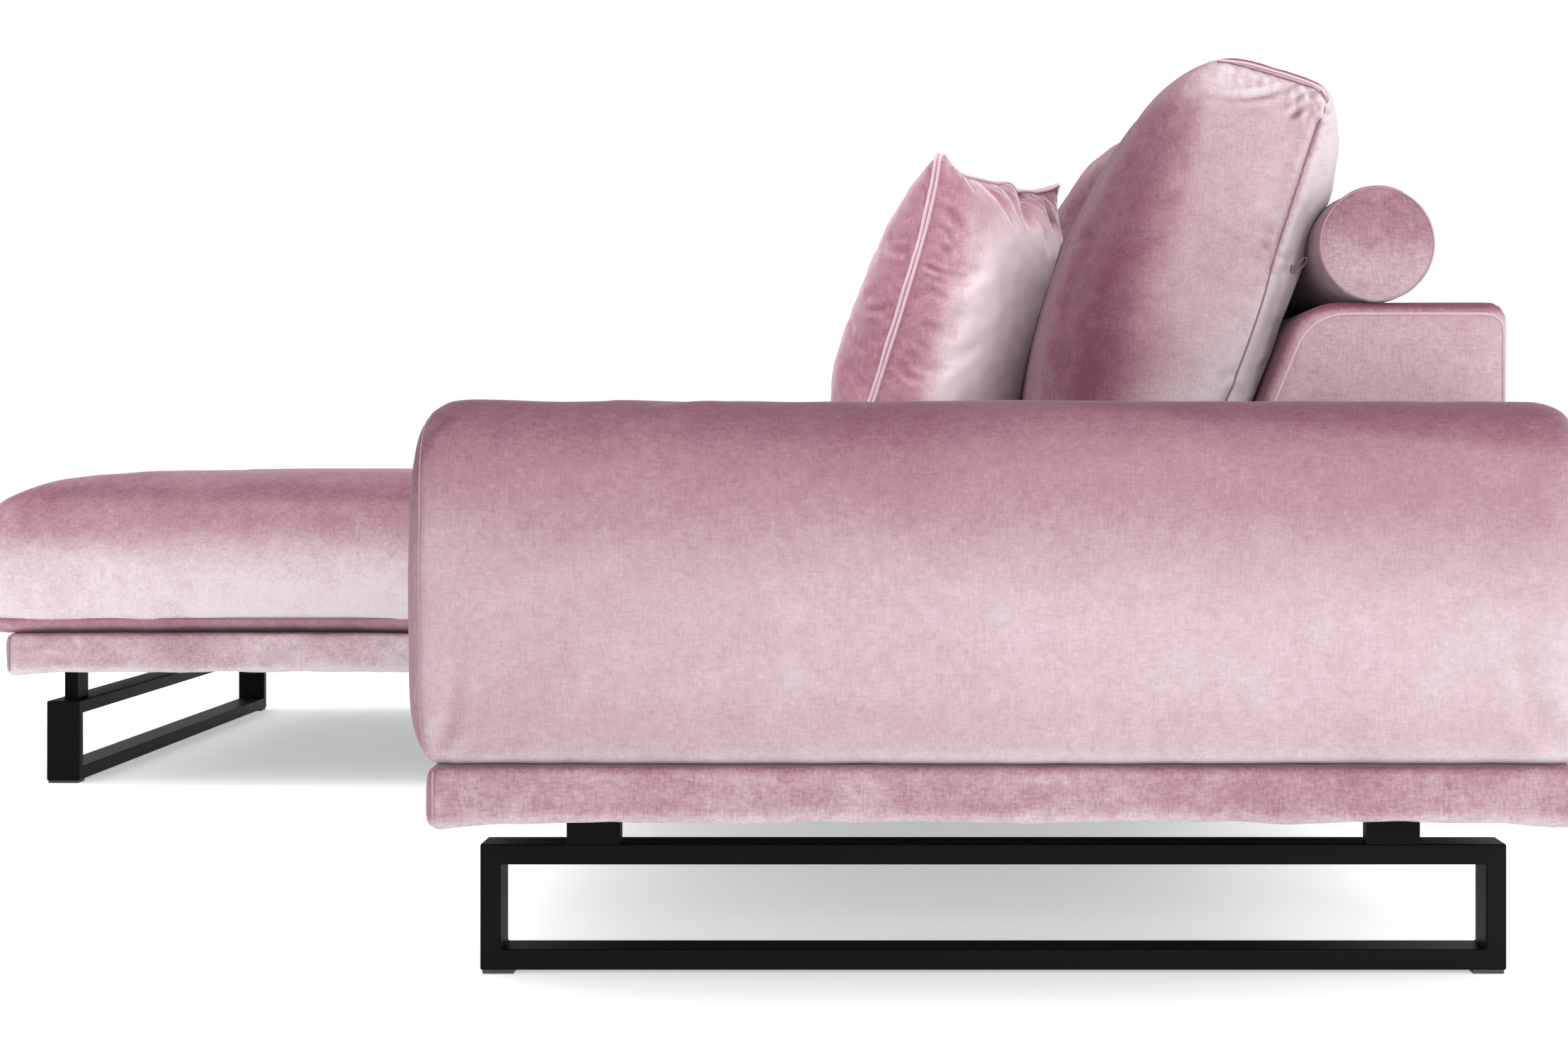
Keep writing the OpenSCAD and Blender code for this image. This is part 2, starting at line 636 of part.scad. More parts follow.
function seat_ring(x0, x1, y0, y1, z, draw) =
    let (mid = [(x0 + x1) / 2, (y0 + y1) / 2], half = [(x1 - x0) / 2, (y1 - y0) / 2], r = seat_corner_r)
    [for (k = [0 : 3])
        let (turn = -90 * k, h = k % 2 == 0 ? half : [half.y, half.x])
        each [for (p = concat([for (t = side_places) [t * (h.x - r), h.y - draw * (1 - t * t)]],
                              arc([h.x - r, h.y - r], r, 90, 0, 3)))
            [mid.x + p.x * cos(turn) - p.y * sin(turn), mid.y + p.x * sin(turn) + p.y * cos(turn), z]]];

module seat_form(x0, x1, y0, y1, z0) {
    foot = [for (s = foot_shares) seat_ring(x0 + s[0] * foot_tuck, x1 - s[0] * foot_tuck,
        y0 + s[0] * foot_tuck, y1 - s[0] * foot_tuck, z0 + s[1] * strip_h, seat_draw)];
    shoulder = [for (s = shoulder_shares) seat_ring(x0 + s[0] * shoulder_side, x1 - s[0] * shoulder_side,
        y0 + s[0] * shoulder_front, y1 - s[0] * shoulder_rear, seat_top_z - s[1] * shoulder_drop,
        seat_draw * (1 - s[0]))];
    skin(concat(foot, shoulder));
}
// The core stands in from the sides, front, rear, bottom and top by these shares of the wrap
core_share = [1.5, 2, 1, 0.7, 1.2];
module seat_core_box(x0, x1, y0, y1, z0, play) {
    side = wrap_t * core_share[0] - play;
    front = wrap_t * core_share[1] - play;
    rear = wrap_t * core_share[2] - play;
    low = z0 + wrap_t * core_share[3] - play;
    translate([x0 + side, y0 + front, low])
        cube([x1 - x0 - 2 * side, y1 - y0 - front - rear, seat_top_z - wrap_t * core_share[4] + play - low]);
}
// Seat cushions as [x0, x1, y0, y1, z0]: a by the arm, b beside it, c on the chaise
seat_mid_x = (chaise_x1 + arm_x0) / 2;
seat_rear_y = block_front_y - cushion_gap;
seat_front_edge = seat_front_y - cushion_overhang;
seat_foot_z = seat_base_top + rest_gap;
chaise_foot_z = chaise_base_top + rest_gap;
seat_cushions = [
    [seat_mid_x + cushion_gap / 2, arm_x0 - cushion_gap, seat_front_edge, seat_rear_y, seat_foot_z],
    [chaise_x1 + cushion_gap, seat_mid_x - cushion_gap / 2, seat_front_edge, seat_rear_y, seat_foot_z],
    [chaise_x0, chaise_x1, chaise_front_y - cushion_overhang, seat_rear_y, chaise_foot_z]
];
module seat_cover(c) {
    color(velvet) difference() {
        seat_form(c[0], c[1], c[2], c[3], c[4]);
        seat_core_box(c[0], c[1], c[2], c[3], c[4], inner_gap);
    }
}
module seat_core(c) { color(foam) seat_core_box(c[0], c[1], c[2], c[3], c[4], 0); }

// Bolsters, end to end on the flat tops of the blocks
bolster_y = rear_y - bolster_back;
bolster_z = block_top_z + bolster_r + rest_gap;
bolster_gap = 8;
function pair_spans(x0, x1, gap) = [[(x0 + x1 + gap) / 2, x1], [x0, (x0 + x1 - gap) / 2]];
bolster_spans = concat(
    pair_spans(seat_x0 + bolster_gap / 2, arm_x0 - bolster_gap, bolster_gap),
    pair_spans(chaise_x0 + bolster_gap, chaise_x1 - bolster_gap / 2, bolster_gap));
module roll(span, r, inset, end_r) {
    l = span[1] - span[0] - 2 * inset;
    translate([span[0] + inset, bolster_y, bolster_z]) rotate([0, 90, 0]) rotate_extrude() union() {
        square([r - end_r, l]);
        translate([0, end_r]) square([r, l - 2 * end_r]);
        for (z = [end_r, l - end_r]) translate([r - end_r, z]) circle(end_r);
    }
}
module bolster_cover(span) {
    color(velvet_dark) difference() {
        roll(span, bolster_r, 0, bolster_end_r);
        translate([span[0] + bolster_cover_t, bolster_y, bolster_z]) rotate([0, 90, 0])
            cylinder(r = bolster_r - bolster_cover_t, h = span[1] - span[0] - 2 * bolster_cover_t);
    }
}
module bolster_core(span) {
    inset = bolster_cover_t + inner_gap;
    color(foam) translate([span[0] + inset, bolster_y, bolster_z]) rotate([0, 90, 0])
        cylinder(r = bolster_r - inset, h = span[1] - span[0] - 2 * inset);
}

// Back cushions
// Front rows go up, rear rows go down: [share of height, share of thickness, share of swell]
back_front_shares = [[0, 0.45, 0.5], [0.10, 0.48, 0.75], [0.25, 0.50, 0.95], [0.45, 0.54, 1],
                     [0.62, 0.575, 1], [0.76, 0.56, 0.95], [0.88, 0.45, 0.7], [0.96, 0.37, 0.35],
                     [1, 0.32, 0.05]];
back_rear_shares = [[0.918, 0.5, 0.25], [0.86, 0.5, 0.5], [0.76, 0.5, 0.85], [0.60, 0.5, 1],
                    [0.45, 0.5, 1], [0.30, 0.5, 0.95], [0.15, 0.5, 0.85], [0.04, 0.5, 0.6],
                    [0, 0.48, 0.5]];
back_top_shares = [[0.985, -0.1, 0.95], [0.955, 0.2, 1]];

// The cushion leans until its swollen rear meets the block or the bolster
function block_face_y(z) = block_front_y + (z - seat_top_z) * tan(block_lean);
function rear_reach(row) = row[0] * back_cushion_h * tan(back_lean) + row[1] * back_cushion_t
    + row[2] * back_rear_swell;
back_foot_y = min(concat(
    [for (row = back_rear_shares) if (row[0] * back_cushion_h < block_top_z - seat_top_z)
        block_face_y(seat_top_z + row[0] * back_cushion_h) - rear_reach(row)],
    [bolster_y - bolster_r / cos(back_lean) - (bolster_z - seat_top_z) * tan(back_lean)
        - back_cushion_t / 2 - back_rear_swell])) - 2 * rest_gap;

function back_outline(ahead, fullness) =
    let (z0 = seat_top_z + rest_gap, foot = back_foot_y - ahead)
    [
        for (row = back_front_shares) let (z = row[0] * back_cushion_h)
            [foot + z * tan(back_lean) - row[1] * back_cushion_t - row[2] * back_front_swell * fullness,
             z0 + z],
        for (row = back_top_shares) let (z = row[0] * back_cushion_h)
            [foot + z * tan(back_lean) + row[1] * back_cushion_t,
             z0 + z + row[2] * back_top_swell * fullness],
        for (row = back_rear_shares) let (z = row[0] * back_cushion_h)
            [foot + z * tan(back_lean) + row[1] * back_cushion_t + row[2] * back_rear_swell * fullness,
             z0 + z],
        [foot, z0]
    ];

// Back cushions as [x0, x1, how far ahead], from the arm to the end of the chaise
back_ahead = 30;
back_ahead_share = [0, 1, 0.35, 0.1];
back_spans = concat(
    pair_spans(chaise_x1 + back_cushion_gap / 2, arm_x0 - back_arm_gap, back_cushion_gap),
    pair_spans(chaise_x0 + back_side_swell, chaise_x1 - back_cushion_gap / 2, back_cushion_gap));

// The core's foot and top as shares of the height, its share of the thickness and of the wrap
back_core_share = [0.08, 0.80, 0.64, 1.3];
module back_core_box(i, play) {
    margin = back_core_share[3] * wrap_t - play;
    t = back_core_share[2] * back_cushion_t + 2 * play;
    low = back_core_share[0] * back_cushion_h - play;
    high = back_core_share[1] * back_cushion_h + play;
    span = back_spans[i];
    translate([span[0] + margin, back_foot_y - back_ahead * back_ahead_share[i], seat_top_z])
        rotate([-back_lean, 0, 0]) translate([0, -t / 2, low])
            cube([span[1] - span[0] - 2 * margin, t, high - low]);
}
module back_cover(i) {
    color(velvet) difference() {
        skin(prism_rings(back_spans[i][0], back_spans[i][1], back_side_swell,
            [for (s = swell_shares) back_outline(back_ahead * back_ahead_share[i], s[1])]));
        back_core_box(i, inner_gap);
    }
}
module back_core(i) { color(foam) back_core_box(i, 0); }

// A zip slider with its pull ring, let into the rear seam of a back cushion
zip_w = 6;
zip_d = 7;
zip_h = 11;
zip_sink = 3;
zip_ring_r = 6;
zip_wire_r = 1;
zip_height_share = 0.5;
zip_in_share = 0.03;
module back_zip(i) {
    span = back_spans[i];
    z = zip_height_share * back_cushion_h;
    y = back_foot_y - back_ahead * back_ahead_share[i] + z * tan(back_lean) + back_cushion_t / 2
        + swell_shares[1][1] * back_rear_swell - zip_sink;
    color(zinc) translate([span[1] - zip_in_share * (span[1] - span[0]) / 2, y, seat_top_z + z]) {
        translate([-zip_w / 2, 0, -zip_h / 2]) cube([zip_w, zip_d, zip_h]);
        translate([-zip_wire_r, zip_d + zip_ring_r - 2 * zip_wire_r, -zip_h / 2]) rotate([0, 90, 0])
            linear_extrude(2 * zip_wire_r) difference() {
                circle(zip_ring_r + zip_wire_r);
                circle(zip_ring_r - zip_wire_r);
            }
    }
}

// Throw pillow: knife edges with ears, cut flat where it stands and where it leans
// Each row is [share of the outline, share of half the thickness]
pillow_shares = [[0.95, 0.33], [0.86, 0.56], [0.73, 0.76], [0.54, 0.91], [0.28, 0.985]];
pillow_steps = 8;
ear_round_share = 0.16;
pillow_lean_ease = 4;
pillow_stand_share = 0.56;
pillow_sink_share = 0.01;

function pillow_ring(size_share, depth) =
    [for (k = [0 : 3], i = [0 : pillow_steps - 1])
        let (t = 2 * i / pillow_steps - 1, half = pillow_size / 2 * size_share,
             pull = 1 - ear_round_share * (1 - size_share) * 2 * pow(abs(t), 3),
             a = t * half * pull,
             b = (half - pillow_draw * (1 - t * t)) * pull,
             turn = -90 * k)
        [a * cos(turn) - b * sin(turn), depth, a * sin(turn) + b * cos(turn)]];

pillow_rest_y = min([for (row = back_front_shares)
    back_foot_y + row[0] * back_cushion_h * (tan(back_lean) - tan(back_lean - pillow_lean_ease))
    - row[1] * back_cushion_t - row[2] * back_front_swell]) - rest_gap;
pillow_rest_slope = tan(back_lean - pillow_lean_ease);
pillow_z = seat_top_z + pillow_size / 2 * (cos(pillow_lean) - pillow_sink_share);
pillow_y = pillow_rest_y + (pillow_z - seat_top_z) * pillow_rest_slope
    - pillow_stand_share * pillow_t;
module at_pillow() {
    translate([arm_x0 - pillow_from_arm, pillow_y, pillow_z]) rotate([-pillow_lean, 0, -pillow_turn])
        children();
}
pillow_core_share = [0.62, 0.36];
module pillow_core_box(play) {
    side = pillow_core_share[0] * pillow_size + 2 * play;
    depth = pillow_core_share[1] * pillow_t + 2 * play;
    translate([-side / 2, -depth / 2, -side / 2]) cube([side, depth, side]);
}
module pillow_cover() {
    front = [for (s = pillow_shares) pillow_ring(s[0], -s[1] * pillow_t / 2)];
    rear = [for (s = pillow_shares) pillow_ring(s[0], s[1] * pillow_t / 2)];
    rings = concat([for (k = [len(rear) - 1 : -1 : 0]) rear[k]], [pillow_ring(1, 0)], front);
    color(velvet_dark) difference() {
        at_pillow() skin(rings);
        at_pillow() pillow_core_box(inner_gap);
        translate([seat_x0, seat_front_edge, seat_base_top])
            cube([seat_w, seat_d, seat_top_z + rest_gap - seat_base_top]);
        translate([seat_x0, pillow_rest_y, seat_top_z])
            multmatrix([[1, 0, 0, 0], [0, 1, pillow_rest_slope, 0], [0, 0, 1, 0]])
            cube([seat_w, back_cushion_t, 2 * pillow_size]);
    }
}
module pillow_insert() { color(foam) at_pillow() pillow_core_box(0); }

seat_base_frame();
seat_base_cover();
seat_base_webbing();
seat_base_dust_cloth();
chaise_base_frame();
chaise_base_cover();
chaise_base_webbing();
chaise_base_dust_cloth();
arm_frame();
arm_foam();
arm_cover();
arm_bolts();
seat_back_frame();
seat_back_cover();
chaise_back_frame();
chaise_back_cover();
back_bolts();
arm_leg();
middle_leg();
chaise_front_leg();
chaise_rear_leg();
leg_brackets();
leg_screws();
leg_glides();
connector_plates();
connector_screws();
seat_cover(seat_cushions[0]);  // seat_cushion_cover_a
seat_core(seat_cushions[0]);  // seat_cushion_core_a
seat_cover(seat_cushions[1]);  // seat_cushion_cover_b
seat_core(seat_cushions[1]);  // seat_cushion_core_b
seat_cover(seat_cushions[2]);  // chaise_cushion_cover
seat_core(seat_cushions[2]);  // chaise_cushion_core
back_cover(0);  // back_cushion_cover_a
back_core(0);  // back_cushion_core_a
back_zip(0);  // back_cushion_zip_a
back_cover(1);  // back_cushion_cover_b
back_core(1);  // back_cushion_core_b
back_zip(1);  // back_cushion_zip_b
back_cover(2);  // back_cushion_cover_c
back_core(2);  // back_cushion_core_c
back_zip(2);  // back_cushion_zip_c
back_cover(3);  // back_cushion_cover_d
back_core(3);  // back_cushion_core_d
back_zip(3);  // back_cushion_zip_d
bolster_cover(bolster_spans[0]);  // bolster_cover_a
bolster_core(bolster_spans[0]);  // bolster_core_a
bolster_cover(bolster_spans[1]);  // bolster_cover_b
bolster_core(bolster_spans[1]);  // bolster_core_b
bolster_cover(bolster_spans[2]);  // bolster_cover_c
bolster_core(bolster_spans[2]);  // bolster_core_c
bolster_cover(bolster_spans[3]);  // bolster_cover_d
bolster_core(bolster_spans[3]);  // bolster_core_d
pillow_cover();
pillow_insert();
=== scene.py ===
"""Looks of the lounge sofa: velvet cushions, arm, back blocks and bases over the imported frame."""

import json
import math

import bmesh
import bpy
import numpy as np
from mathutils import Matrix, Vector
from mathutils.bvhtree import BVHTree


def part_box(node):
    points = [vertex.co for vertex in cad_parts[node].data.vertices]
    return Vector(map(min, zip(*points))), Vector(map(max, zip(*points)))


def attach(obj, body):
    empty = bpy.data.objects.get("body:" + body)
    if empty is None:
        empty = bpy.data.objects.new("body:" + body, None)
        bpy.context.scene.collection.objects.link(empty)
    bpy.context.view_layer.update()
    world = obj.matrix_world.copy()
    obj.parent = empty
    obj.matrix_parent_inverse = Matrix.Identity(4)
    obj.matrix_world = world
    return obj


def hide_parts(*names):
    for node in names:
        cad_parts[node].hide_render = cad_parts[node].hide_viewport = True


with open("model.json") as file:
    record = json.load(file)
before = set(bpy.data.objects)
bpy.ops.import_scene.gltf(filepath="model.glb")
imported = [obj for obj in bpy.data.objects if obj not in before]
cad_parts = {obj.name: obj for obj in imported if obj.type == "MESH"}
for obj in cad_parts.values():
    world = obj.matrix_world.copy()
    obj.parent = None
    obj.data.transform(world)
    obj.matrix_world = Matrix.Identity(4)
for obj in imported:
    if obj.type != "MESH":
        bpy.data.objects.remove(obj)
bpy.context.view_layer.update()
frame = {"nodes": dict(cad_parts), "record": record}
scene = bpy.context.scene
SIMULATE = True


def link(name, data):
    obj = bpy.data.objects.new(name, data)
    scene.collection.objects.link(obj)
    return obj


# Camera
cam_data = bpy.data.cameras.new("camera")
cam = link("camera", cam_data)
cam.location = (3.792, 0.398, 0.502)
cam.rotation_euler = (math.radians(90), 0, math.radians(90))
cam_data.sensor_width, cam_data.lens, cam_data.clip_end = 36, 60.11, 60
cam_data.shift_x, cam_data.shift_y = -0.0802, -0.0430
scene.camera = cam
scene.view_settings.view_transform = "Standard"

# Sizes in metres, in the shared frame: +z up, the front faces -y, the arm stands at +x
SEAT_TOP = 0.478
SEAT_BASE_TOP = 0.225
CHAISE_BASE_TOP = 0.233
BASE_BOTTOM = 0.175
ARM_X0, ARM_X1, ARM_TOP = 1.211, 1.461, 0.553
ARM_Y0, ARM_Y1 = -0.039, 0.997
SEAT_X0, CHAISE_X0, CHAISE_X1 = -0.162, -1.461, -0.164
REAR_Y = 0.989
BLOCK_FRONT, BLOCK_TOP = 0.711, 0.654
LEAN, BLOCK_LEAN = math.radians(18.5), math.radians(24)
FAR = 9.0  # beyond every side of the sofa
BOLSTER_Y, BOLSTER_Z, BOLSTER_R = 0.861, 0.7123, 0.058


# Curves and tables
def smooth(table, x):
    """Monotone cubic through (place, value) rows."""
    xs, ys = (np.array(c, float) for c in zip(*table))
    h, d = np.diff(xs), np.diff(ys) / np.diff(xs)
    both = d[:-1] * d[1:]
    m = np.concatenate([[d[0]], np.where(both > 0, 2 * both / (d[:-1] + d[1:] + 1e-12), 0), [d[-1]]])
    x = np.clip(np.asarray(x, float), xs[0], xs[-1])
    k = np.clip(np.searchsorted(xs, x) - 1, 0, len(h) - 1)
    t = (x - xs[k]) / h[k]
    return ((2 * t**3 - 3 * t**2 + 1) * ys[k] + (t**3 - 2 * t**2 + t) * h[k] * m[k]
            + (3 * t**2 - 2 * t**3) * ys[k + 1] + (t**3 - t**2) * h[k] * m[k + 1])


def arc(centre, r, start, end, steps):
    """Points on a round, its angles in degrees."""
    a = np.radians(np.linspace(start, end, steps + 1))
    return np.stack([centre[0] + r * np.cos(a), centre[1] + r * np.sin(a)], 1)


def angles(count):
    return np.linspace(0, 2 * math.pi, count, endpoint=False)


def even(outline, count):
    """The closed outline again, with its points evenly spaced."""
    p = np.vstack([outline, outline[:1]])
    s = np.concatenate([[0], np.cumsum(np.linalg.norm(np.diff(p, axis=0), axis=1))])
    t = np.linspace(0, s[-1], count + 1)[:-1]
    return np.stack([np.interp(t, s, p[:, k]) for k in range(p.shape[1])], 1)


def rounded(outline, passes):
    """Softens the corners of an evenly spaced outline."""
    for _ in range(passes):
        outline = 0.5 * outline + 0.25 * (np.roll(outline, 1, 0) + np.roll(outline, -1, 0))
    return outline


def turn(d, r):
    """How far a quarter round of radius r has come out at distance d from the edge, 0 to 1."""
    t = 1 - np.clip(np.asarray(d, float) / r, 0, 1)
    return np.sqrt(1 - t * t)


def grain(p, seed):
    """Smooth gradient noise of many points at once, about -0.8 to 0.8."""
    rng = np.random.default_rng(seed)
    g = rng.normal(size=(256, 3))
    g /= np.linalg.norm(g, axis=1)[:, None]
    perm = rng.permutation(256)
    i = np.floor(p).astype(int)
    f = p - i
    w = f**3 * (f * (f * 6 - 15) + 10)
    total = np.zeros(len(p))
    for c in ((0, 0, 0), (1, 0, 0), (0, 1, 0), (1, 1, 0), (0, 0, 1), (1, 0, 1), (0, 1, 1), (1, 1, 1)):
        h = perm[(perm[(perm[(i[:, 0] + c[0]) & 255] + i[:, 1] + c[1]) & 255] + i[:, 2] + c[2]) & 255]
        share = np.prod(np.where(np.array(c), w, 1 - w), axis=1)
        total += share * np.einsum("ij,ij->i", g[h], f - np.array(c))
    return 1.5 * total


# Meshes
def shade(mesh, soft=True):
    mesh.polygons.foreach_set("use_smooth", [soft] * len(mesh.polygons))


def mesh_object(name, verts, faces):
    """A smooth mesh with its doubled points merged and its faces turned outward."""
    mesh = bpy.data.meshes.new(name)
    mesh.from_pydata([tuple(v) for v in verts], [], faces)
    bm = bmesh.new()
    bm.from_mesh(mesh)
    bmesh.ops.remove_doubles(bm, verts=bm.verts, dist=1e-5)
    bmesh.ops.recalc_face_normals(bm, faces=bm.faces)
    if bm.calc_volume() < 0:
        bmesh.ops.reverse_faces(bm, faces=bm.faces)
    bm.to_mesh(mesh)
    bm.free()
    shade(mesh)
    return link(name, mesh)


def loft(name, rings, closed=False):
    """A skin through rings of equal counts: a closed loop of them, or a row with a fan over each end."""
    rings = [np.asarray(r, float) for r in rings]
    n, m = len(rings[0]), len(rings)
    faces = [(i * n + j, i * n + (j + 1) % n, (i + 1) % m * n + (j + 1) % n, (i + 1) % m * n + j)
             for i in range(m if closed else m - 1) for j in range(n)]
    if not closed:
        faces += [(m * n, (j + 1) % n, j) for j in range(n)]
        faces += [(m * n + 1, (m - 1) * n + j, (m - 1) * n + (j + 1) % n) for j in range(n)]
        rings += [rings[0].mean(0)[None], rings[-1].mean(0)[None]]
    return mesh_object(name, np.vstack(rings), faces)


def toward_middle(ring, shares):
    """The ring again and again in its own plane, at shares of its size."""
    c = ring.mean(0)
    return [c + (ring - c) * [s, s, 1] for s in shares]


def read(mesh, what="co"):
    values = np.zeros(len(mesh.vertices) * 3, np.float32)
    mesh.vertices.foreach_get(what, values)
    return values.reshape(-1, 3).astype(float)


def coords(obj):
    return read(obj.data)


def set_coords(obj, co):
    obj.data.vertices.foreach_set("co", np.asarray(co, np.float32).ravel())
    obj.data.update()


def clip(obj, low=(-FAR, -FAR, -FAR), high=(FAR, FAR, FAR)):
    set_coords(obj, np.clip(coords(obj), low, high))


def modify(obj, kind, **settings):
    """Adds a modifier and applies it."""
    m = obj.modifiers.new(kind.lower(), kind)
    for key, value in settings.items():
        setattr(m, key, value)
    mesh = bpy.data.meshes.new_from_object(obj.evaluated_get(bpy.context.evaluated_depsgraph_get()))
    old = obj.data
    obj.modifiers.clear()
    obj.data = mesh
    bpy.data.meshes.remove(old)
    shade(mesh)


def soften(obj, cell, passes, seams=(), **cloth):
    """An even skin over the form, puffed up where seams are given."""
    modify(obj, "REMESH", mode="VOXEL", voxel_size=cell, use_smooth_shade=True)
    modify(obj, "SMOOTH", factor=0.5, iterations=passes)
    if seams and SIMULATE:
        puff(obj, seams, **cloth)
    modify(obj, "SUBSURF", levels=1, render_levels=1)


def refine(obj, inside):
    """Splits the edges in a region, given as a test of each vertex, for finer folds there."""
    bm = bmesh.new()
    bm.from_mesh(obj.data)
    bmesh.ops.subdivide_edges(bm, edges=[e for e in bm.edges if inside(e.verts[0].co) and inside(e.verts[1].co)],
                              cuts=1, use_grid_fill=True)
    bm.to_mesh(obj.data)
    bm.free()
    shade(obj.data)


def near_curve(points, curve):
    """Distance of each point from a curve through the given points, and how far along it the nearest place is."""
    best, along = np.full(len(points), 1e9), np.zeros(len(points))
    for k, (p, q) in enumerate(zip(curve[:-1], curve[1:])):
        d = q - p
        t = np.clip((points - p) @ d / max(d @ d, 1e-12), 0, 1)
        off = np.linalg.norm(points - p - t[:, None] * d, axis=1)
        along = np.where(off < best, (k + t) / (len(curve) - 1), along)
        best = np.minimum(best, off)
    return best, along


def face_tree(obj):
    return BVHTree.FromObject(obj, bpy.context.evaluated_depsgraph_get())


def opened(points, least=0.0):
    """The row of points rolled so that its widest gap, if wider than the least, falls between its ends."""
    gaps = np.linalg.norm(np.diff(points, axis=0), axis=1)
    return np.roll(points, -(np.argmax(gaps) + 1), 0) if gaps.max() > least else points


def groove(obj, curve, depth, width):
    """Draws the cloth in along a seam, with a slight roll on both sides."""
    co = coords(obj)
    d = near_curve(co, curve)[0]
    move = -depth * np.exp(-((d / width) ** 2)) + 0.3 * depth * np.exp(-(((d - 3 * width) / (1.6 * width)) ** 2))
    set_coords(obj, co + read(obj.data, "normal") * move[:, None])


def creases(obj, lines):
    """Folds: each is (two or three points, depth, width), deepest near its start, with a roll on both sides."""
    co, nrm = coords(obj), read(obj.data, "normal")
    total = np.zeros(len(co))
    for pts, depth, width in lines:
        pts = np.array(pts, float)
        if len(pts) == 3:
            t = np.linspace(0, 1, 13)[:, None]
            c = 2 * pts[1] - 0.5 * (pts[0] + pts[2])
            pts = (1 - t) ** 2 * pts[0] + 2 * t * (1 - t) * c + t**2 * pts[2]
        reach = 6 * width + np.linalg.norm(pts[-1] - pts[0])
        near = np.nonzero(np.linalg.norm(co - pts.mean(0), axis=1) < reach)[0]
        if not len(near):
            continue
        best, along = near_curve(co[near], pts)
        taper = np.clip(np.minimum(along / 0.12 + 0.15, (1 - along) / 0.6), 0, 1)
        total[near] += taper * depth * (-np.exp(-((best / width) ** 2))
                                        + 0.55 * np.exp(-(((best - 2.3 * width) / (1.1 * width)) ** 2)))
    set_coords(obj, co + nrm * total[:, None])


def undulate(obj, amount, size, seed, stretch=(1, 1, 1)):
    """Slow swells of the cloth along its normals."""
    co, nrm = coords(obj), read(obj.data, "normal")
    set_coords(obj, co + nrm * (amount * grain(co * (np.array(stretch, float) / size), seed))[:, None])


def puff(obj, seams, cap, grow, pin_width, frames=20):
    """Cloth under inner pressure, held at its seams and kept within a cap of its start."""
    start = coords(obj)
    d = np.min([near_curve(start, s)[0] for s in seams], axis=0)
    group = obj.vertex_groups.new(name="pin")
    for i in np.nonzero(d < 2.2 * pin_width)[0]:
        group.add([int(i)], float(math.exp(-((d[i] / pin_width) ** 2))), "REPLACE")
    m = obj.modifiers.new("cloth", "CLOTH")
    s = m.settings
    s.quality, s.mass, s.air_damping = 4, 0.35, 2.0
    s.tension_stiffness = s.compression_stiffness = 18
    s.shear_stiffness, s.bending_stiffness = 8, 0.6
    s.use_pressure, s.uniform_pressure_force = True, 4.0
    s.shrink_min = s.shrink_max = -grow
    s.vertex_group_mass, s.pin_stiffness = "pin", 1.0
    s.effector_weights.gravity = 0
    m.collision_settings.use_collision = m.collision_settings.use_self_collision = False
    m.point_cache.frame_start, m.point_cache.frame_end = 1, frames
    for f in range(1, frames + 1):
        scene.frame_set(f)
    end = read(obj.evaluated_get(bpy.context.evaluated_depsgraph_get()).data)
    obj.modifiers.clear()
    obj.vertex_groups.clear()
    scene.frame_set(1)
    move = end - start
    far = np.linalg.norm(move, axis=1)
    move *= (cap * np.tanh(far / cap) / np.maximum(far, 1e-9))[:, None]
    set_coords(obj, start + move)


def tube(name, points, radius, closed=False):
    """A thin round strand through the points."""
    p = np.asarray(points, float)
    nxt = np.roll(p, -1, 0) if closed else np.vstack([p[1:], 2 * p[-1:] - p[-2:-1]])
    prv = np.roll(p, 1, 0) if closed else np.vstack([2 * p[:1] - p[1:2], p[:-1]])
    tan = nxt - prv
    tan /= np.maximum(np.linalg.norm(tan, axis=1), 1e-9)[:, None]
    rings, side = [], np.cross(tan[0], (0.31, 0.17, 0.93))
    for q, t in zip(p, tan):
        side = side - (side @ t) * t
        side /= np.linalg.norm(side)
        up = np.cross(t, side)
        rings.append([q + radius * (math.cos(a) * side + math.sin(a) * up) for a in angles(6)])
    return loft(name, rings, closed)


# Materials
def material(name):
    mat = bpy.data.materials.new(name)
    mat.use_nodes = True
    return mat, mat.node_tree, mat.node_tree.nodes["Principled BSDF"]


def feed(tree, node, inputs):
    """Gives each input a value or the output of another node."""
    for key, value in inputs.items():
        if isinstance(value, bpy.types.NodeSocket):
            tree.links.new(value, node.inputs[key])
        else:
            node.inputs[key].default_value = value


def add(tree, kind, inputs=None, **settings):
    node = tree.nodes.new("ShaderNode" + kind)
    for key, value in settings.items():
        setattr(node, key, value)
    feed(tree, node, inputs or {})
    return node


def surface(tree, bsdf, height, strength, distance, **inputs):
    """The bump and the other inputs of a material's surface."""
    bump = add(tree, "Bump", {"Height": height, "Strength": strength, "Distance": distance})
    feed(tree, bsdf, {"Normal": bump.outputs["Normal"]} | {k.replace("_", " "): v for k, v in inputs.items()})


def tint(r, g, b, depth=0.6):
    """A colour as the eye reads it, made into the cloth's own colour."""
    return tuple(depth * ((v / 255 + 0.055) / 1.055) ** 2.4 for v in (r, g, b)) + (1,)


UP, BACK, PILLOW_FACE = (0, 0, 1), (0, 1, 0), (0.388, 0.871, -0.301)


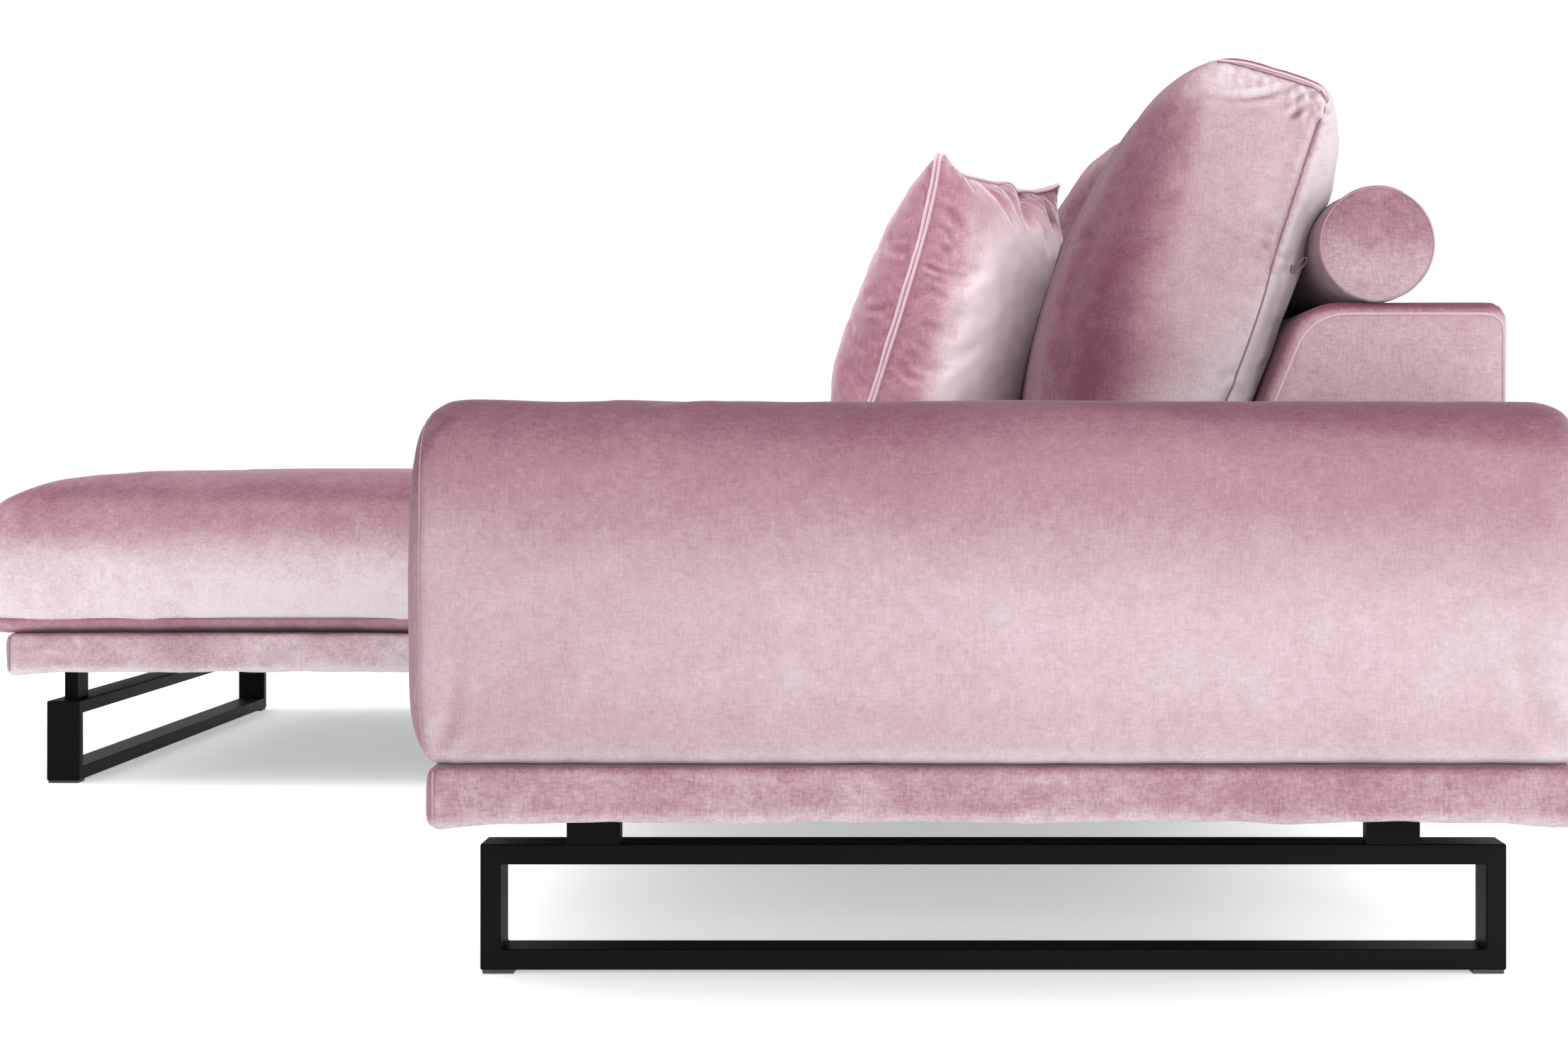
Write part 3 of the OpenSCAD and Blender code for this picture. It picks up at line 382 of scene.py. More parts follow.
def velvet(name, light_from, bias, patches, brushed, mottle, ramps=(), panel=None, depth=0.5, sheen=0.25):
    """Velvet with painted light and shade: each side is painted pale where it faces light_from and deep where it
    faces away, with brushed marks over it.
    A ramp is (direction, start, end, amount); the panel's ramp works only on the end panels."""
    mat, tree, bsdf = material(name)
    place = add(tree, "TexCoord").outputs["Object"]
    geo = add(tree, "NewGeometry").outputs

    def dot(vector, way):
        return add(tree, "VectorMath", {0: vector, 1: way}, operation="DOT_PRODUCT").outputs["Value"]

    def calc(op, a, b):
        return add(tree, "Math", {0: a, 1: b}, operation=op).outputs[0]

    def noise(scale, detail, rough, stretch=(1, 1, 1), distort=0.0):
        at = add(tree, "Mapping", {"Vector": place, "Scale": stretch}).outputs["Vector"]
        return add(tree, "TexNoise", {"Vector": at, "Scale": scale, "Detail": detail, "Roughness": rough,
                                      "Distortion": distort}).outputs["Fac"]

    def ramp_along(way, start, end, amount):
        return add(tree, "MapRange", {"Value": dot(place, way), "From Min": start, "From Max": end, "To Min": 0,
                                      "To Max": amount}, interpolation_type="SMOOTHSTEP").outputs["Result"]

    def swing(value, share):
        return calc("MULTIPLY", calc("SUBTRACT", value, 0.5), share)

    # Painted light and shade: pale where a side faces light_from, deep where it faces away.
    tone = calc("ADD", calc("MULTIPLY", dot(geo["Normal"], light_from), 0.5), 0.5 + bias)
    for share, *mark in ((patches, 2.1, 3, 0.5, (1, 1, 1), 0.6), (brushed, 8, 6, 0.62, (1, 1, 1.3), 0.5),
                         (mottle, 60, 8, 0.78), (mottle, 300, 3, 0.7, (1, 0.4, 1.5)),
                         (mottle, 300, 3, 0.7, (1, 1.5, 0.4))):
        tone = calc("ADD", tone, swing(noise(*mark), share))
    # The ramps paint lighter or darker tone by place.
    for ramp in ramps:
        tone = calc("ADD", tone, ramp_along(*ramp))
    # Painted shade in hollows and creases, painted light on ridges, by the mesh's pointiness.
    tone = calc("ADD", tone, swing(geo["Pointiness"], 3.4))
    # Tone painted on the end panels only, weighted by how squarely they face along x.
    if panel:
        across = add(tree, "SeparateXYZ", {0: geo["Normal"]}).outputs["X"]
        tone = calc("ADD", tone, calc("MULTIPLY", calc("MULTIPLY", across, across), ramp_along(*panel)))
    # The stops run from the deep rose of shaded sides to the pale pink of lit sides, whitened at the pale end as
    # painted sheen.
    ramp = add(tree, "ValToRGB", {"Fac": tone})
    stops = ramp.color_ramp.elements
    stops[0].position, stops[0].color = 0.02, tint(132, 80, 95, depth)
    stops[1].position, stops[1].color = 0.98, tint(238, 223, 227, depth)
    for at, colour in ((0.20, (154, 104, 119)), (0.48, (187, 146, 156)), (0.74, (215, 188, 194))):
        stops.new(at).color = tint(*colour, depth)
    height = calc("ADD", calc("MULTIPLY", noise(1300, 3, 0.7), 0.4),
                  calc("MULTIPLY", noise(240, 5, 0.65, (1, 1, 0.5)), 0.7))
    surface(tree, bsdf, height, 0.22, 0.0012, Base_Color=ramp.outputs["Color"], Roughness=0.7,
           Specular_IOR_Level=0.15, Sheen_Weight=sheen, Sheen_Roughness=0.4, Sheen_Tint=(1.0, 0.88, 0.92, 1))
    return mat


def plain(name, dark, light, rough, scale, bump_size, metallic=0.0, stretch=(1, 1, 1)):
    """A hard or woven surface with a fine two-tone grain and bump."""
    mat, tree, bsdf = material(name)
    place = add(tree, "TexCoord").outputs["Object"]
    place = add(tree, "Mapping", {"Vector": place, "Scale": stretch}).outputs["Vector"]
    grains = add(tree, "TexNoise", {"Vector": place, "Scale": scale, "Detail": 6}).outputs["Fac"]
    ramp = add(tree, "ValToRGB", {"Fac": grains})
    for stop, at, colour in zip(ramp.color_ramp.elements, (0.3, 0.7), (dark, light)):
        stop.position, stop.color = at, (*colour, 1)
    surface(tree, bsdf, grains, 0.25, bump_size, Base_Color=ramp.outputs["Color"], Roughness=rough, Metallic=metallic)
    return mat


# The way the painted light comes from: sides facing it are painted pale, tops facing away are painted deep.
PAINTED_LIGHT_WAY = (0.42, 0.34, -0.66)
VELVET = velvet("velvet", PAINTED_LIGHT_WAY, 0.0, 0.30, 0.26, 0.3)
# Arm: painted shade in a deep band along the rounded top, darker still at the top rear and on the front end panel,
# and darker toward the foot; painted light paler toward the rear, along the front seam and at the very foot, where it
# is shaded.
VELVET_ARM = velvet("velvet_arm", (0.42, 0.34, -0.38), -0.04, 0.20, 0.18, 0.30,
                    [((0, 0.04, 1), 0.370, 0.525, -0.355), (BACK, -0.1, 1.0, 0.17), (UP, 0.30, 0.25, -0.08),
                     ((0, 0.1, 1), 0.594, 0.612, -0.11), ((0, -0.4, 1), 0.38, 0.44, 0.05), (UP, 0.245, 0.232, 0.07),
                     (BACK, -0.006, -0.036, 0.06), (BACK, -0.0365, -0.0425, -0.10)], depth=0.475, sheen=0.10)
# Bases: painted pale or deep by facing; the far copy, for the chaise base, is painted lighter to stand in for the
# light it lacks in its cushion's shade.
VELVET_BASE = velvet("velvet_base", PAINTED_LIGHT_WAY, -0.20, 0.30, 0.70, 0.5, depth=0.485)
VELVET_BASE_FAR_PAINTED_LIGHTER = velvet("velvet_base_far_painted_lighter", PAINTED_LIGHT_WAY, 0.04, 0.36, 0.80, 0.5, depth=0.66)
# Seat cushions: painted shade deepens the top, with a paler crown as painted sheen, and painted light makes the sides
# paler lower down; below edge the foot strip is darker, and the seat cushions' low copy is a little darker over all.
VELVET_SEAT, VELVET_SEAT_LOW = (
    velvet(name, (0.60, -0.20, -0.30), 0.045, 0.20, 0.36, 0.40,
           [(UP, 0.338, 0.412, -0.35), (UP, 0.36, 0.30, 0.08), (UP, 0.450, 0.470, 0.10),
            (UP, edge, edge - 0.002, -0.56)], depth=depth, sheen=0.2)
    for name, edge, depth in (("velvet_seat", 0.256, 0.72), ("velvet_seat_low", 0.248, 0.66)))
# Back blocks: painted light from the front with their tops painted deep, and more painted shade on the top face.
VELVET_BLOCK = velvet("velvet_block", (0.66, 0.20, -1.15), -0.18, 0.20, 0.16, 0.36, [(UP, 0.641, 0.648, -0.18)],
                      depth=0.575, sheen=0.06)
# Back cushions: painted light on the rear boxing, on the lower boxing where the block and bolster shade it, and paler
# near the top; painted shade on the top strip above the seam and on the front of the end panels.
VELVET_BACK = velvet("velvet_back", (0.30, 0.45, -0.50), 0.05, 0.40, 0.40, 0.32,
                     [((0, 1, -0.3346), 0.526, 0.540, 0.20), (UP, 0.845, 0.88, 0.22),
                      ((0, 0.286, 1), 1.1065, 1.1105, -0.55), ((0, 1, -1.2), -0.10, 0.05, 0.24)],
                     panel=((0, 1, -0.10), 0.62, 0.492, -0.725), depth=0.54, sheen=0.10)
# Bolsters: painted shade over their top, deeper where they face up.
VELVET_ROLL = velvet("velvet_roll", (0.35, 0.20, -0.60), -0.03, 0.34, 0.80, 0.45, [(UP, 0.67, 0.76, -0.28)])
# Throw pillow: a broad band of painted light across its rear face toward the back cushion, painted shade on its
# raised top rear corner, and a high depth to carry the painted light.
VELVET_PILLOW = velvet("velvet_pillow", (0.40, 0.10, -0.10), -0.39, 0.25, 0.24, 0.32,
                       [(PILLOW_FACE, 0.491, 0.570, 1.12), ((-0.5595, 0.4818, 0.6744), 0.424, 0.446, -0.62)],
                       depth=1.04, sheen=1.0)
SEAM_LIGHT, SEAM_SOFT, SEAM_MID, SEAM_ROSE, SEAM_PALE, SEAM_DARK = (
    plain("seam_thread_" + tone, dark, light, rough, 900, 0.0003) for tone, dark, light, rough in (
        ("light", (0.34, 0.22, 0.255), (0.44, 0.33, 0.36), 0.7),
        ("soft", (0.42, 0.29, 0.33), (0.52, 0.39, 0.43), 0.7),
        ("mid", (0.24, 0.145, 0.172), (0.32, 0.205, 0.238), 0.7),
        ("rose", (0.17, 0.075, 0.10), (0.24, 0.12, 0.15), 0.8),
        ("pale", (0.60, 0.42, 0.48), (0.74, 0.57, 0.62), 0.7),
        ("dark", (0.09, 0.035, 0.05), (0.16, 0.07, 0.09), 0.8)))
# The zinc zip's slider and loop are painted dark grey-pink, as they look in shadow: painted shade.
ZIP_PAINTED_SHADE = plain("zip_painted_shade", (0.10, 0.055, 0.066), (0.18, 0.11, 0.125), 0.5, 700, 0.0002)
POWDER = plain("powder_coat", (0.0022, 0.0027, 0.0025), (0.0046, 0.0056, 0.0050), 0.5, 1500, 0.0002)
POWDER.node_tree.nodes["Principled BSDF"].inputs["Specular IOR Level"].default_value = 0.045
TIMBER = plain("timber", (0.42, 0.27, 0.14), (0.62, 0.44, 0.26), 0.7, 14, 0.0006, stretch=(1, 9, 9))
CLOTH = plain("lining_cloth", (0.006, 0.006, 0.006), (0.02, 0.02, 0.02), 0.95, 1100, 0.0004)
FOAM = plain("foam", (0.70, 0.66, 0.52), (0.86, 0.83, 0.72), 0.9, 420, 0.0008)
ZINC = plain("zinc", (0.42, 0.42, 0.43), (0.60, 0.61, 0.63), 0.38, 260, 0.0002, 1.0)
PLASTIC = plain("glide_plastic", (0.012, 0.012, 0.012), (0.03, 0.03, 0.03), 0.6, 500, 0.0003)


def dress(obj, mat, body, slot, *nodes):
    """Gives a piece its material, body and the nodes that it stands in for; the slot is not used."""
    obj.data.materials.clear()
    obj.data.materials.append(mat)
    if nodes:
        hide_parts(*nodes)
    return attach(obj, body)


def strand(name, points, radius, mat, body, closed=False, slot="velvet", on=None, out=0.0):
    """A seam's thread or welt, laid on the finished surface where one is given."""
    p = np.asarray(points, float)
    if on is not None:
        tree = face_tree(on)
        for passes in (4, 1):
            hits = [tree.find_nearest(Vector(q)) for q in p]
            p = np.array([h[0] + h[1] * out for h in hits])
            for _ in range(passes):
                ends = p[[0, -1]].copy()
                p = 0.5 * p + 0.25 * (np.roll(p, 1, 0) + np.roll(p, -1, 0))
                if not closed:
                    p[[0, -1]] = ends
    return dress(tube(name, p, radius, closed), mat, body, slot)


# Prisms with crowned end panels: outlines run from the end to the middle
PANEL = [(0, 1), (0.30, 0.92), (0.66, 0.62), (0.90, 0.25), (1, 0)]
ARM_PANEL = [(0, 1), (0.4, 0.92), (0.67, 0.72), (0.83, 0.54), (0.92, 0.37), (0.975, 0.18), (1, 0)]


def prism(name, x0, x1, swell, outline, cell, count, axis=0, panel=PANEL):
    """Rings along an axis; outline(distance from the end, half length) gives the two other coordinates."""
    half, mid = (x1 - x0) / 2, (x0 + x1) / 2
    near = np.array([0, 0.0008, 0.002, 0.004, 0.007, 0.011, 0.016, 0.022, 0.03, 0.04])
    shares = np.concatenate([near, np.linspace(0.04 + cell, half, max(8, int(half / cell)))]) / half
    end = even(outline(0.0, half), count)
    c = (end.max(0) + end.min(0)) / 2
    reach = np.abs(end - c).max(0)
    way = end - c
    oval = c + way / np.linalg.norm(way / reach, axis=1)[:, None]
    rings = []
    for sign in (-1, 1):
        part = []
        for s in np.concatenate([np.linspace(0.04, 0.88, 12), [0.92, 0.95, 0.975, 0.99]]):
            shape = s**1.5 * end + (1 - s**1.5) * oval
            rise = swell * float(smooth(panel, s))
            scale = 1 - (1 - s) * reach.min() / reach
            part.append(np.column_stack([np.full(count, mid + sign * (half + rise)), c + (shape - c) * scale]))
        for s in shares:
            ring = even(outline(s * half, half), count)
            part.append(np.column_stack([np.full(count, mid + sign * half * (1 - s)), ring]))
        rings += part if sign < 0 else part[::-1][1:]
    if axis == 1:
        rings = [r[:, [1, 0, 2]] for r in rings]
    return loft(name, rings)


def end_curve(outline, x, count=160, axis=0, out=0.0):
    """The closed outline of a prism's end panel, where its seam or welt runs."""
    ring = even(outline(0.0, 0.5), count)
    c = (ring.max(0) + ring.min(0)) / 2
    ring = ring + (ring - c) / np.linalg.norm(ring - c, axis=1)[:, None] * out
    p = np.column_stack([np.full(count, x), ring])
    p = p[:, [1, 0, 2]] if axis == 1 else p
    return np.vstack([p, p[:1]])


# Arm
def arm_outline(d, half):
    full = 0.88 * turn(d, 0.032) + 0.12 * smooth([(0, 0), (0.4, 0.9), (1, 1)], d / half)
    w, top, r = 0.125 - (1 - full) * 0.006, ARM_TOP - (1 - full) * 0.016, 0.062
    cx, z0 = (ARM_X0 + ARM_X1) / 2, SEAT_BASE_TOP
    t = np.linspace(0, 1, 16)
    side = smooth([(0, 0.009), (0.05, 0.003), (0.15, 0), (0.55, -0.0005), (1, 0)], t)
    zs = z0 + t * (top - r - z0)
    left = np.column_stack([cx - w + side, zs])
    right = np.column_stack([cx + w - side, zs])[::-1]
    return np.vstack([left, arc((cx - w + r, top - r), r, 180, 90, 14),
                      arc((cx + w - r, top - r), r, 90, 0, 14), right,
                      np.column_stack([np.linspace(cx + w - 0.02, cx - w + 0.02, 10), np.full(10, z0)])])


def arm_bend(co):
    """The lower corners draw in, and the top sags a little between its ends."""
    low = np.clip((0.275 - co[:, 2]) / 0.05, 0, 1) ** 2
    front = np.clip((ARM_Y0 + 0.05 - co[:, 1]) / 0.06, 0, 1)
    back = np.clip((co[:, 1] - ARM_Y1 + 0.05) / 0.06, 0, 1)
    co[:, 1] += 0.009 * low * (front - 0.3 * back)
    high = np.clip((co[:, 2] - 0.40) / 0.12, 0, 1)
    ends = np.exp(-(((co[:, 1] + 0.005) / 0.05) ** 2)) + 0.3 * np.clip((co[:, 1] - 0.5) / 0.5, 0, 1) ** 2
    co[:, 2] += high * (0.0035 * ends - 0.001)
    return co


arm = prism("arm_velvet", ARM_Y0, ARM_Y1, 0.0255, arm_outline, 0.013, 170, axis=1, panel=ARM_PANEL)
set_coords(arm, arm_bend(coords(arm)))
arm_seams = [arm_bend(end_curve(arm_outline, y, axis=1)) for y in (ARM_Y0 - 0.003, ARM_Y1 + 0.003)]
soften(arm, 0.0095, 2)
undulate(arm, 0.0022, 0.15, 1, (1, 0.5, 1))
undulate(arm, 0.0009, 0.045, 2, (1, 0.8, 1))
x, y = ARM_X1, ARM_Y0
creases(arm, [
    ([(x - 0.012, y + 0.002, 0.520), (x - 0.020, y + 0.020, 0.535), (x - 0.050, y + 0.045, 0.550)], 0.0014, 0.0050),
    ([(x, y + 0.014, 0.240), (x, y + 0.028, 0.268), (x, y + 0.034, 0.330)], 0.0022, 0.0070),
    ([(x, y + 0.020, 0.232), (x, y + 0.060, 0.240), (x, y + 0.110, 0.250)], 0.0012, 0.0060),
    ([(x - 0.03, y + 0.17, 0.550), (x - 0.06, y + 0.215, 0.553), (x - 0.12, y + 0.26, 0.553)], 0.0020, 0.0120),
    ([(x, ARM_Y1 - 0.004, 0.250), (x, ARM_Y1 - 0.045, 0.290), (x, ARM_Y1 - 0.060, 0.370)], 0.0026, 0.0100)])
for seam in arm_seams:
    groove(arm, seam[seam[:, 2] > SEAT_BASE_TOP + 0.003], 0.0009, 0.0026)
clip(arm, (ARM_X0 - 0.0006, -FAR, SEAT_BASE_TOP + 0.0002), (ARM_X1 + 0.004, FAR, FAR))
dress(arm, VELVET_ARM, "sofa", "velvet", "arm_cover", "arm_foam")
for k, seam in enumerate(arm_seams):
    shown = seam[:-1][seam[:-1, 2] > SEAT_BASE_TOP + 0.004]
    strand(f"arm_seam_{k}", opened(shown), 0.0009, SEAM_MID, "sofa", on=arm, out=0.0001)


# Back blocks
def block_outline(base_top):
    def outline(d, half):
        inset = 0.012 * (1 - turn(d, 0.013))
        front, top, rear = BLOCK_FRONT + inset, BLOCK_TOP - inset, REAR_Y - 0.3 * inset
        r, q = 0.052, 0.016
        az = top - r
        ay = front + (az - SEAT_TOP) * math.tan(BLOCK_LEAN) + r / math.cos(BLOCK_LEAN)
        return np.vstack([
            np.column_stack([np.full(12, front), np.linspace(base_top, SEAT_TOP - 0.01, 12)]),
            arc((ay, az), r, 180 - math.degrees(BLOCK_LEAN), 90, 12), arc((rear - q, top - q), q, 90, 0, 6),
            np.column_stack([np.full(14, rear), np.linspace(top - q - 0.02, base_top, 14)]),
            np.column_stack([np.linspace(rear - 0.02, front + 0.02, 12), np.full(12, base_top)])])
    return outline


for label, x0, x1, base_top, node in (
        ("seat_back_velvet", SEAT_X0 + 0.006, 1.202, SEAT_BASE_TOP, "seat_back_cover"),
        ("chaise_back_velvet", CHAISE_X0 + 0.006, CHAISE_X1 - 0.006, CHAISE_BASE_TOP, "chaise_back_cover")):
    outline = block_outline(base_top)
    block = prism(label, x0, x1, 0.006, outline, 0.02, 150)
    undulate(block, 0.0014, 0.15, 3 + len(label), (0.5, 1, 1))
    clip(block, (-FAR, BLOCK_FRONT - 0.0005, base_top + 0.0002))
    dress(block, VELVET_BLOCK, "sofa", "velvet", node)
    for k, x in enumerate((x0, x1)):
        curve = end_curve(outline, x, out=0.0004)[:-1]
        strand(f"{label}_welt_{k}", opened(curve[curve[:, 2] > base_top + 0.004]), 0.0019, SEAM_LIGHT, "sofa")


def block_front(z):
    """The y of the blocks' leaning front at a height."""
    return BLOCK_FRONT + np.clip(z - SEAT_TOP, 0, None) * math.tan(BLOCK_LEAN)


# Seat cushions
SHOULDER = [(0, 1), (0.006, 0.74), (0.018, 0.56), (0.045, 0.445), (0.09, 0.375), (0.16, 0.30), (0.25, 0.21),
            (0.375, 0.133), (0.5, 0.095), (0.64, 0.061), (0.83, 0.03), (1, 0)]


def seat_ring(x0, x1, y0, y1, z, draw, per_side=46, r=0.045):
    """A rectangle with round corners at a height, its sides drawn in at their middles."""
    cx, cy, hx, hy = (x0 + x1) / 2, (y0 + y1) / 2, (x1 - x0) / 2, (y1 - y0) / 2
    pts = []
    for k in range(4):
        a, b = (hx, hy) if k % 2 == 0 else (hy, hx)
        t = np.linspace(-1, 1, per_side)
        side = np.column_stack([t * (a - r), b - draw * (1 - t * t)])
        pts_k = np.vstack([side[:-1], arc((a - r, b - r), r, 90, 0, 10)[:-1]])
        c, s = math.cos(math.radians(-90 * k)), math.sin(math.radians(-90 * k))
        pts.append(np.column_stack([cx + pts_k[:, 0] * c - pts_k[:, 1] * s, cy + pts_k[:, 0] * s + pts_k[:, 1] * c]))
    ring = np.vstack(pts)
    return np.column_stack([ring, np.full(len(ring), z)])


def seat_cushion(name, x0, x1, y0, z0, body, seed):
    """A boxed cushion with a seam round its foot, a full shoulder and a flat top."""
    y1, draw, strip, crown = 0.708, 0.007, 0.022, 0.105
    rings = toward_middle(seat_ring(x0 + 0.009, x1 - 0.009, y0 + 0.009, y1 - 0.009, z0, draw), (0.1, 0.4, 0.7, 0.9))
    for inset, up in ((0.009, 0), (0.005, 0.003), (0.0028, 0.008), (0.0022, 0.014), (0.0032, 0.0215),
                      (0.0016, 0.026), (0.0005, 0.032), (0, 0.040), (-0.0004, 0.05)):
        rings.append(seat_ring(x0 + inset, x1 - inset, y0 + inset, y1 - inset, z0 + up, draw))
    for up in np.linspace(z0 + 0.065, SEAT_TOP - crown - 0.008, 7):
        rings.append(seat_ring(x0, x1, y0, y1, up, draw))
    for s in np.concatenate([[0, 0.003, 0.007, 0.012, 0.02, 0.028, 0.038, 0.05, 0.065], np.linspace(0.085, 1, 24)]):
        drop = float(smooth(SHOULDER, s)) * crown
        rings.append(seat_ring(x0 + 0.19 * s, x1 - 0.19 * s, y0 + 0.32 * s, y1 - 0.028 * s, SEAT_TOP - drop,
                               draw * (1 - s)))
    obj = loft(name, rings + toward_middle(rings[-1], (0.92, 0.8, 0.65, 0.45, 0.2)))
    seam = seat_ring(x0 + 0.004, x1 - 0.004, y0 + 0.004, y1 - 0.004, z0 + strip, draw)
    seam = np.vstack([seam, seam[:1]])
    soften(obj, 0.014, 2, [seam], cap=0.006, grow=0.006, frames=12, pin_width=0.015)
    undulate(obj, 0.004, 0.22, seed)
    undulate(obj, 0.0012, 0.06, seed + 1)
    co = coords(obj)
    depth = np.clip((co[:, 2] - SEAT_TOP + 0.012) / 0.012, 0, 1)
    co[:, 2] = np.where(co[:, 2] > SEAT_TOP - 0.0004, SEAT_TOP - 0.0004, co[:, 2] - 0.0002 * depth)
    co[:, 2] = np.maximum(co[:, 2], z0 + 0.0001)
    co[:, 0] = np.clip(co[:, 0], x0 + 0.0005, x1 - 0.0005 + 0.004 * (name == "chaise_seat_velvet"))
    co[:, 1] = np.minimum(co[:, 1], y1)
    set_coords(obj, co)
    groove(obj, seam, 0.0017, 0.004)
    dress(obj, VELVET_SEAT_LOW if z0 < 0.23 else VELVET_SEAT, body, "velvet",
          *(body.replace("cushion", "cushion_" + part) for part in ("cover", "core")))
    seam[:, 2] += 0.0005
    strand(name + "_seam", seam[:-1], 0.0010, SEAM_ROSE, body, closed=True)


seat_cushion("seat_a_velvet", 0.526, 1.208, -0.063, 0.2253, "seat_cushion_a", 11)
seat_cushion("seat_b_velvet", -0.161, 0.5215, -0.063, 0.2253, "seat_cushion_b", 15)
seat_cushion("chaise_seat_velvet", CHAISE_X0, CHAISE_X1, -1.016, 0.2333, "chaise_cushion", 19)


# Back cushions: how far each side stands from the leaning line through the foot, by the share of the height
H, FOOT_Y, SEAM = 0.427, 0.6119, 0.078
FRONT = [(0, 0.090), (0.10, 0.099), (0.19, 0.107), (0.37, 0.118), (0.5, 0.120), (0.62, 0.118), (0.69, 0.113),
         (0.766, 0.107), (0.838, 0.100), (0.906, 0.090), (0.95, 0.081), (0.985, 0.069), (1, 0.052)]
DRAWN = [(0, 0.034), (0.5, 0.040), (0.8, 0.036), (0.92, 0.022), (1, 0.003)]
REAR = [(0, 0.090), (0.08, 0.101), (0.2, 0.107), (0.32, 0.1088), (0.60, 0.1088), (0.65, 0.114), (0.69, 0.1155),
        (0.73, 0.113), (0.80, 0.107), (0.88, 0.096), (0.918, 0.082)]
# Each back cushion's two ends along x, and how far ahead of the others it stands
BACKS = {"a": (0.5142, 1.152, 0.0), "b": (-0.151, 0.4868, 0.030), "c": (-0.8010, -0.177, 0.0105),
         "d": (-1.452, -0.828, 0.003)}


def back_outline(ahead, slim=0.0):
    foot, z0, slope = FOOT_Y - ahead, SEAT_TOP + 0.0003, math.tan(LEAN)

    def outline(d, half):
        slow = float(smooth([(0, 0), (0.3, 0.75), (1, 1)], d / half))
        fore = 0.86 * float(turn(d, 0.075)) + 0.14 * slow
        aft = 0.96 * float(turn(d, 0.017)) + 0.04 * slow
        s = np.linspace(0, 1, 60)
        front = foot + s * H * slope - smooth(FRONT, s) * (1 - slim * s) + smooth(DRAWN, s) * (1 - fore)
        front = np.column_stack([front, z0 + s * H])
        s = np.linspace(0.918, 0, 50)
        seam = SEAM - 0.010 * np.clip(1 - s / 0.05, 0, 1)
        rear = np.column_stack([foot + s * H * slope + seam + (smooth(REAR, s) - SEAM) * aft, z0 + s * H])
        t = np.linspace(0, 1, 16)[1:-1]
        up = (0.002 + 0.010 * aft) * np.sin(np.pi * t) ** 0.5
        top = front[-1] + (rear[0] - front[-1]) * t[:, None] + np.column_stack([0.3 * up, up])
        base = np.column_stack([np.linspace(rear[-1, 0] - 0.01, front[0, 0] + 0.01, 10), np.full(10, z0)])
        return rounded(even(np.vstack([front, top, rear, base]), 190), 2)
    return outline


def keep_behind(co, clear=0.0006):
    """Keeps a back cushion off the block and the bolster behind it."""
    low = co[:, 2] < BLOCK_TOP
    co[:, 1] = np.where(low, np.minimum(co[:, 1], block_front(co[:, 2]) - clear), co[:, 1])
    dz = co[:, 2] - BOLSTER_Z
    reach = np.sqrt(np.clip((BOLSTER_R + clear) ** 2 - dz * dz, 0, None))
    co[:, 1] = np.where(np.abs(dz) < BOLSTER_R, np.minimum(co[:, 1], BOLSTER_Y - reach), co[:, 1])
    return co


def back_folds(key, x, sign):
    """Folds in the end panel at the top rear corner, under the top seam and beside the zip.
    A row is (depth, width, then places as off the lean line, height, inset)."""
    foot = FOOT_Y - BACKS[key][2]

    def at(off, z, inside=0.0):
        return (x + sign * (0.006 - inside), foot + (z - SEAT_TOP) * math.tan(LEAN) + off, z)
    vary = {"a": 0.0, "b": 0.006, "c": -0.005, "d": 0.009}[key]
    rows = [
        (0.0024, 0.0034, (0.032, 0.873), (-0.008 + vary, 0.862), (-0.056 + vary, 0.868)),
        (0.0056, 0.0032, (0.041 + vary, 0.874), (0.048 + vary, 0.862), (0.047 + vary, 0.849)),
        (0.0056, 0.0032, (0.064, 0.859), (0.054, 0.850 + vary), (0.043, 0.840 + vary)),
        (0.0040, 0.0028, (0.054, 0.872), (0.052, 0.864), (0.058, 0.857)),
        (0.0070, 0.0034, (0.076, 0.858), (0.065, 0.848), (0.070, 0.836)),
        (0.0040, 0.0028, (0.076, 0.862), (0.066, 0.859), (0.058, 0.860)),
        (0.0046, 0.0040, (0.078, 0.850), (0.086, 0.852, 0.008), (0.094, 0.862, 0.018)),
        (0.0030, 0.0036, (0.078, 0.838), (0.088, 0.842, 0.008), (0.096, 0.850, 0.018)),
        (0.0026, 0.0032, (-0.010, 0.893), (-0.012, 0.884), (-0.006, 0.877)),
        (0.0026, 0.0030, (0.006, 0.888), (0.003, 0.880), (0.008, 0.872)),
        (0.0026, 0.0030, (0.020, 0.883), (0.016, 0.877), (0.019, 0.868)),
        (0.0020, 0.0032, (-0.030, 0.897), (-0.034, 0.890), (-0.030, 0.882)),
        (0.0024, 0.0030, (0.081, 0.707), (0.092, 0.703, 0.010), (0.104, 0.700, 0.020)),
        (0.0026, 0.0040, (0.084, 0.690), (0.092, 0.686, 0.010), (0.100, 0.688, 0.018)),
        (0.0020, 0.0040, (0.074, 0.712), (0.060, 0.716), (0.048, 0.714)),
        (0.0020, 0.0050, (0.077, 0.590), (0.062, 0.584 + vary), (0.046, 0.586)),
    ]
    return [([at(*p) for p in points], depth, width) for depth, width, *points in rows]


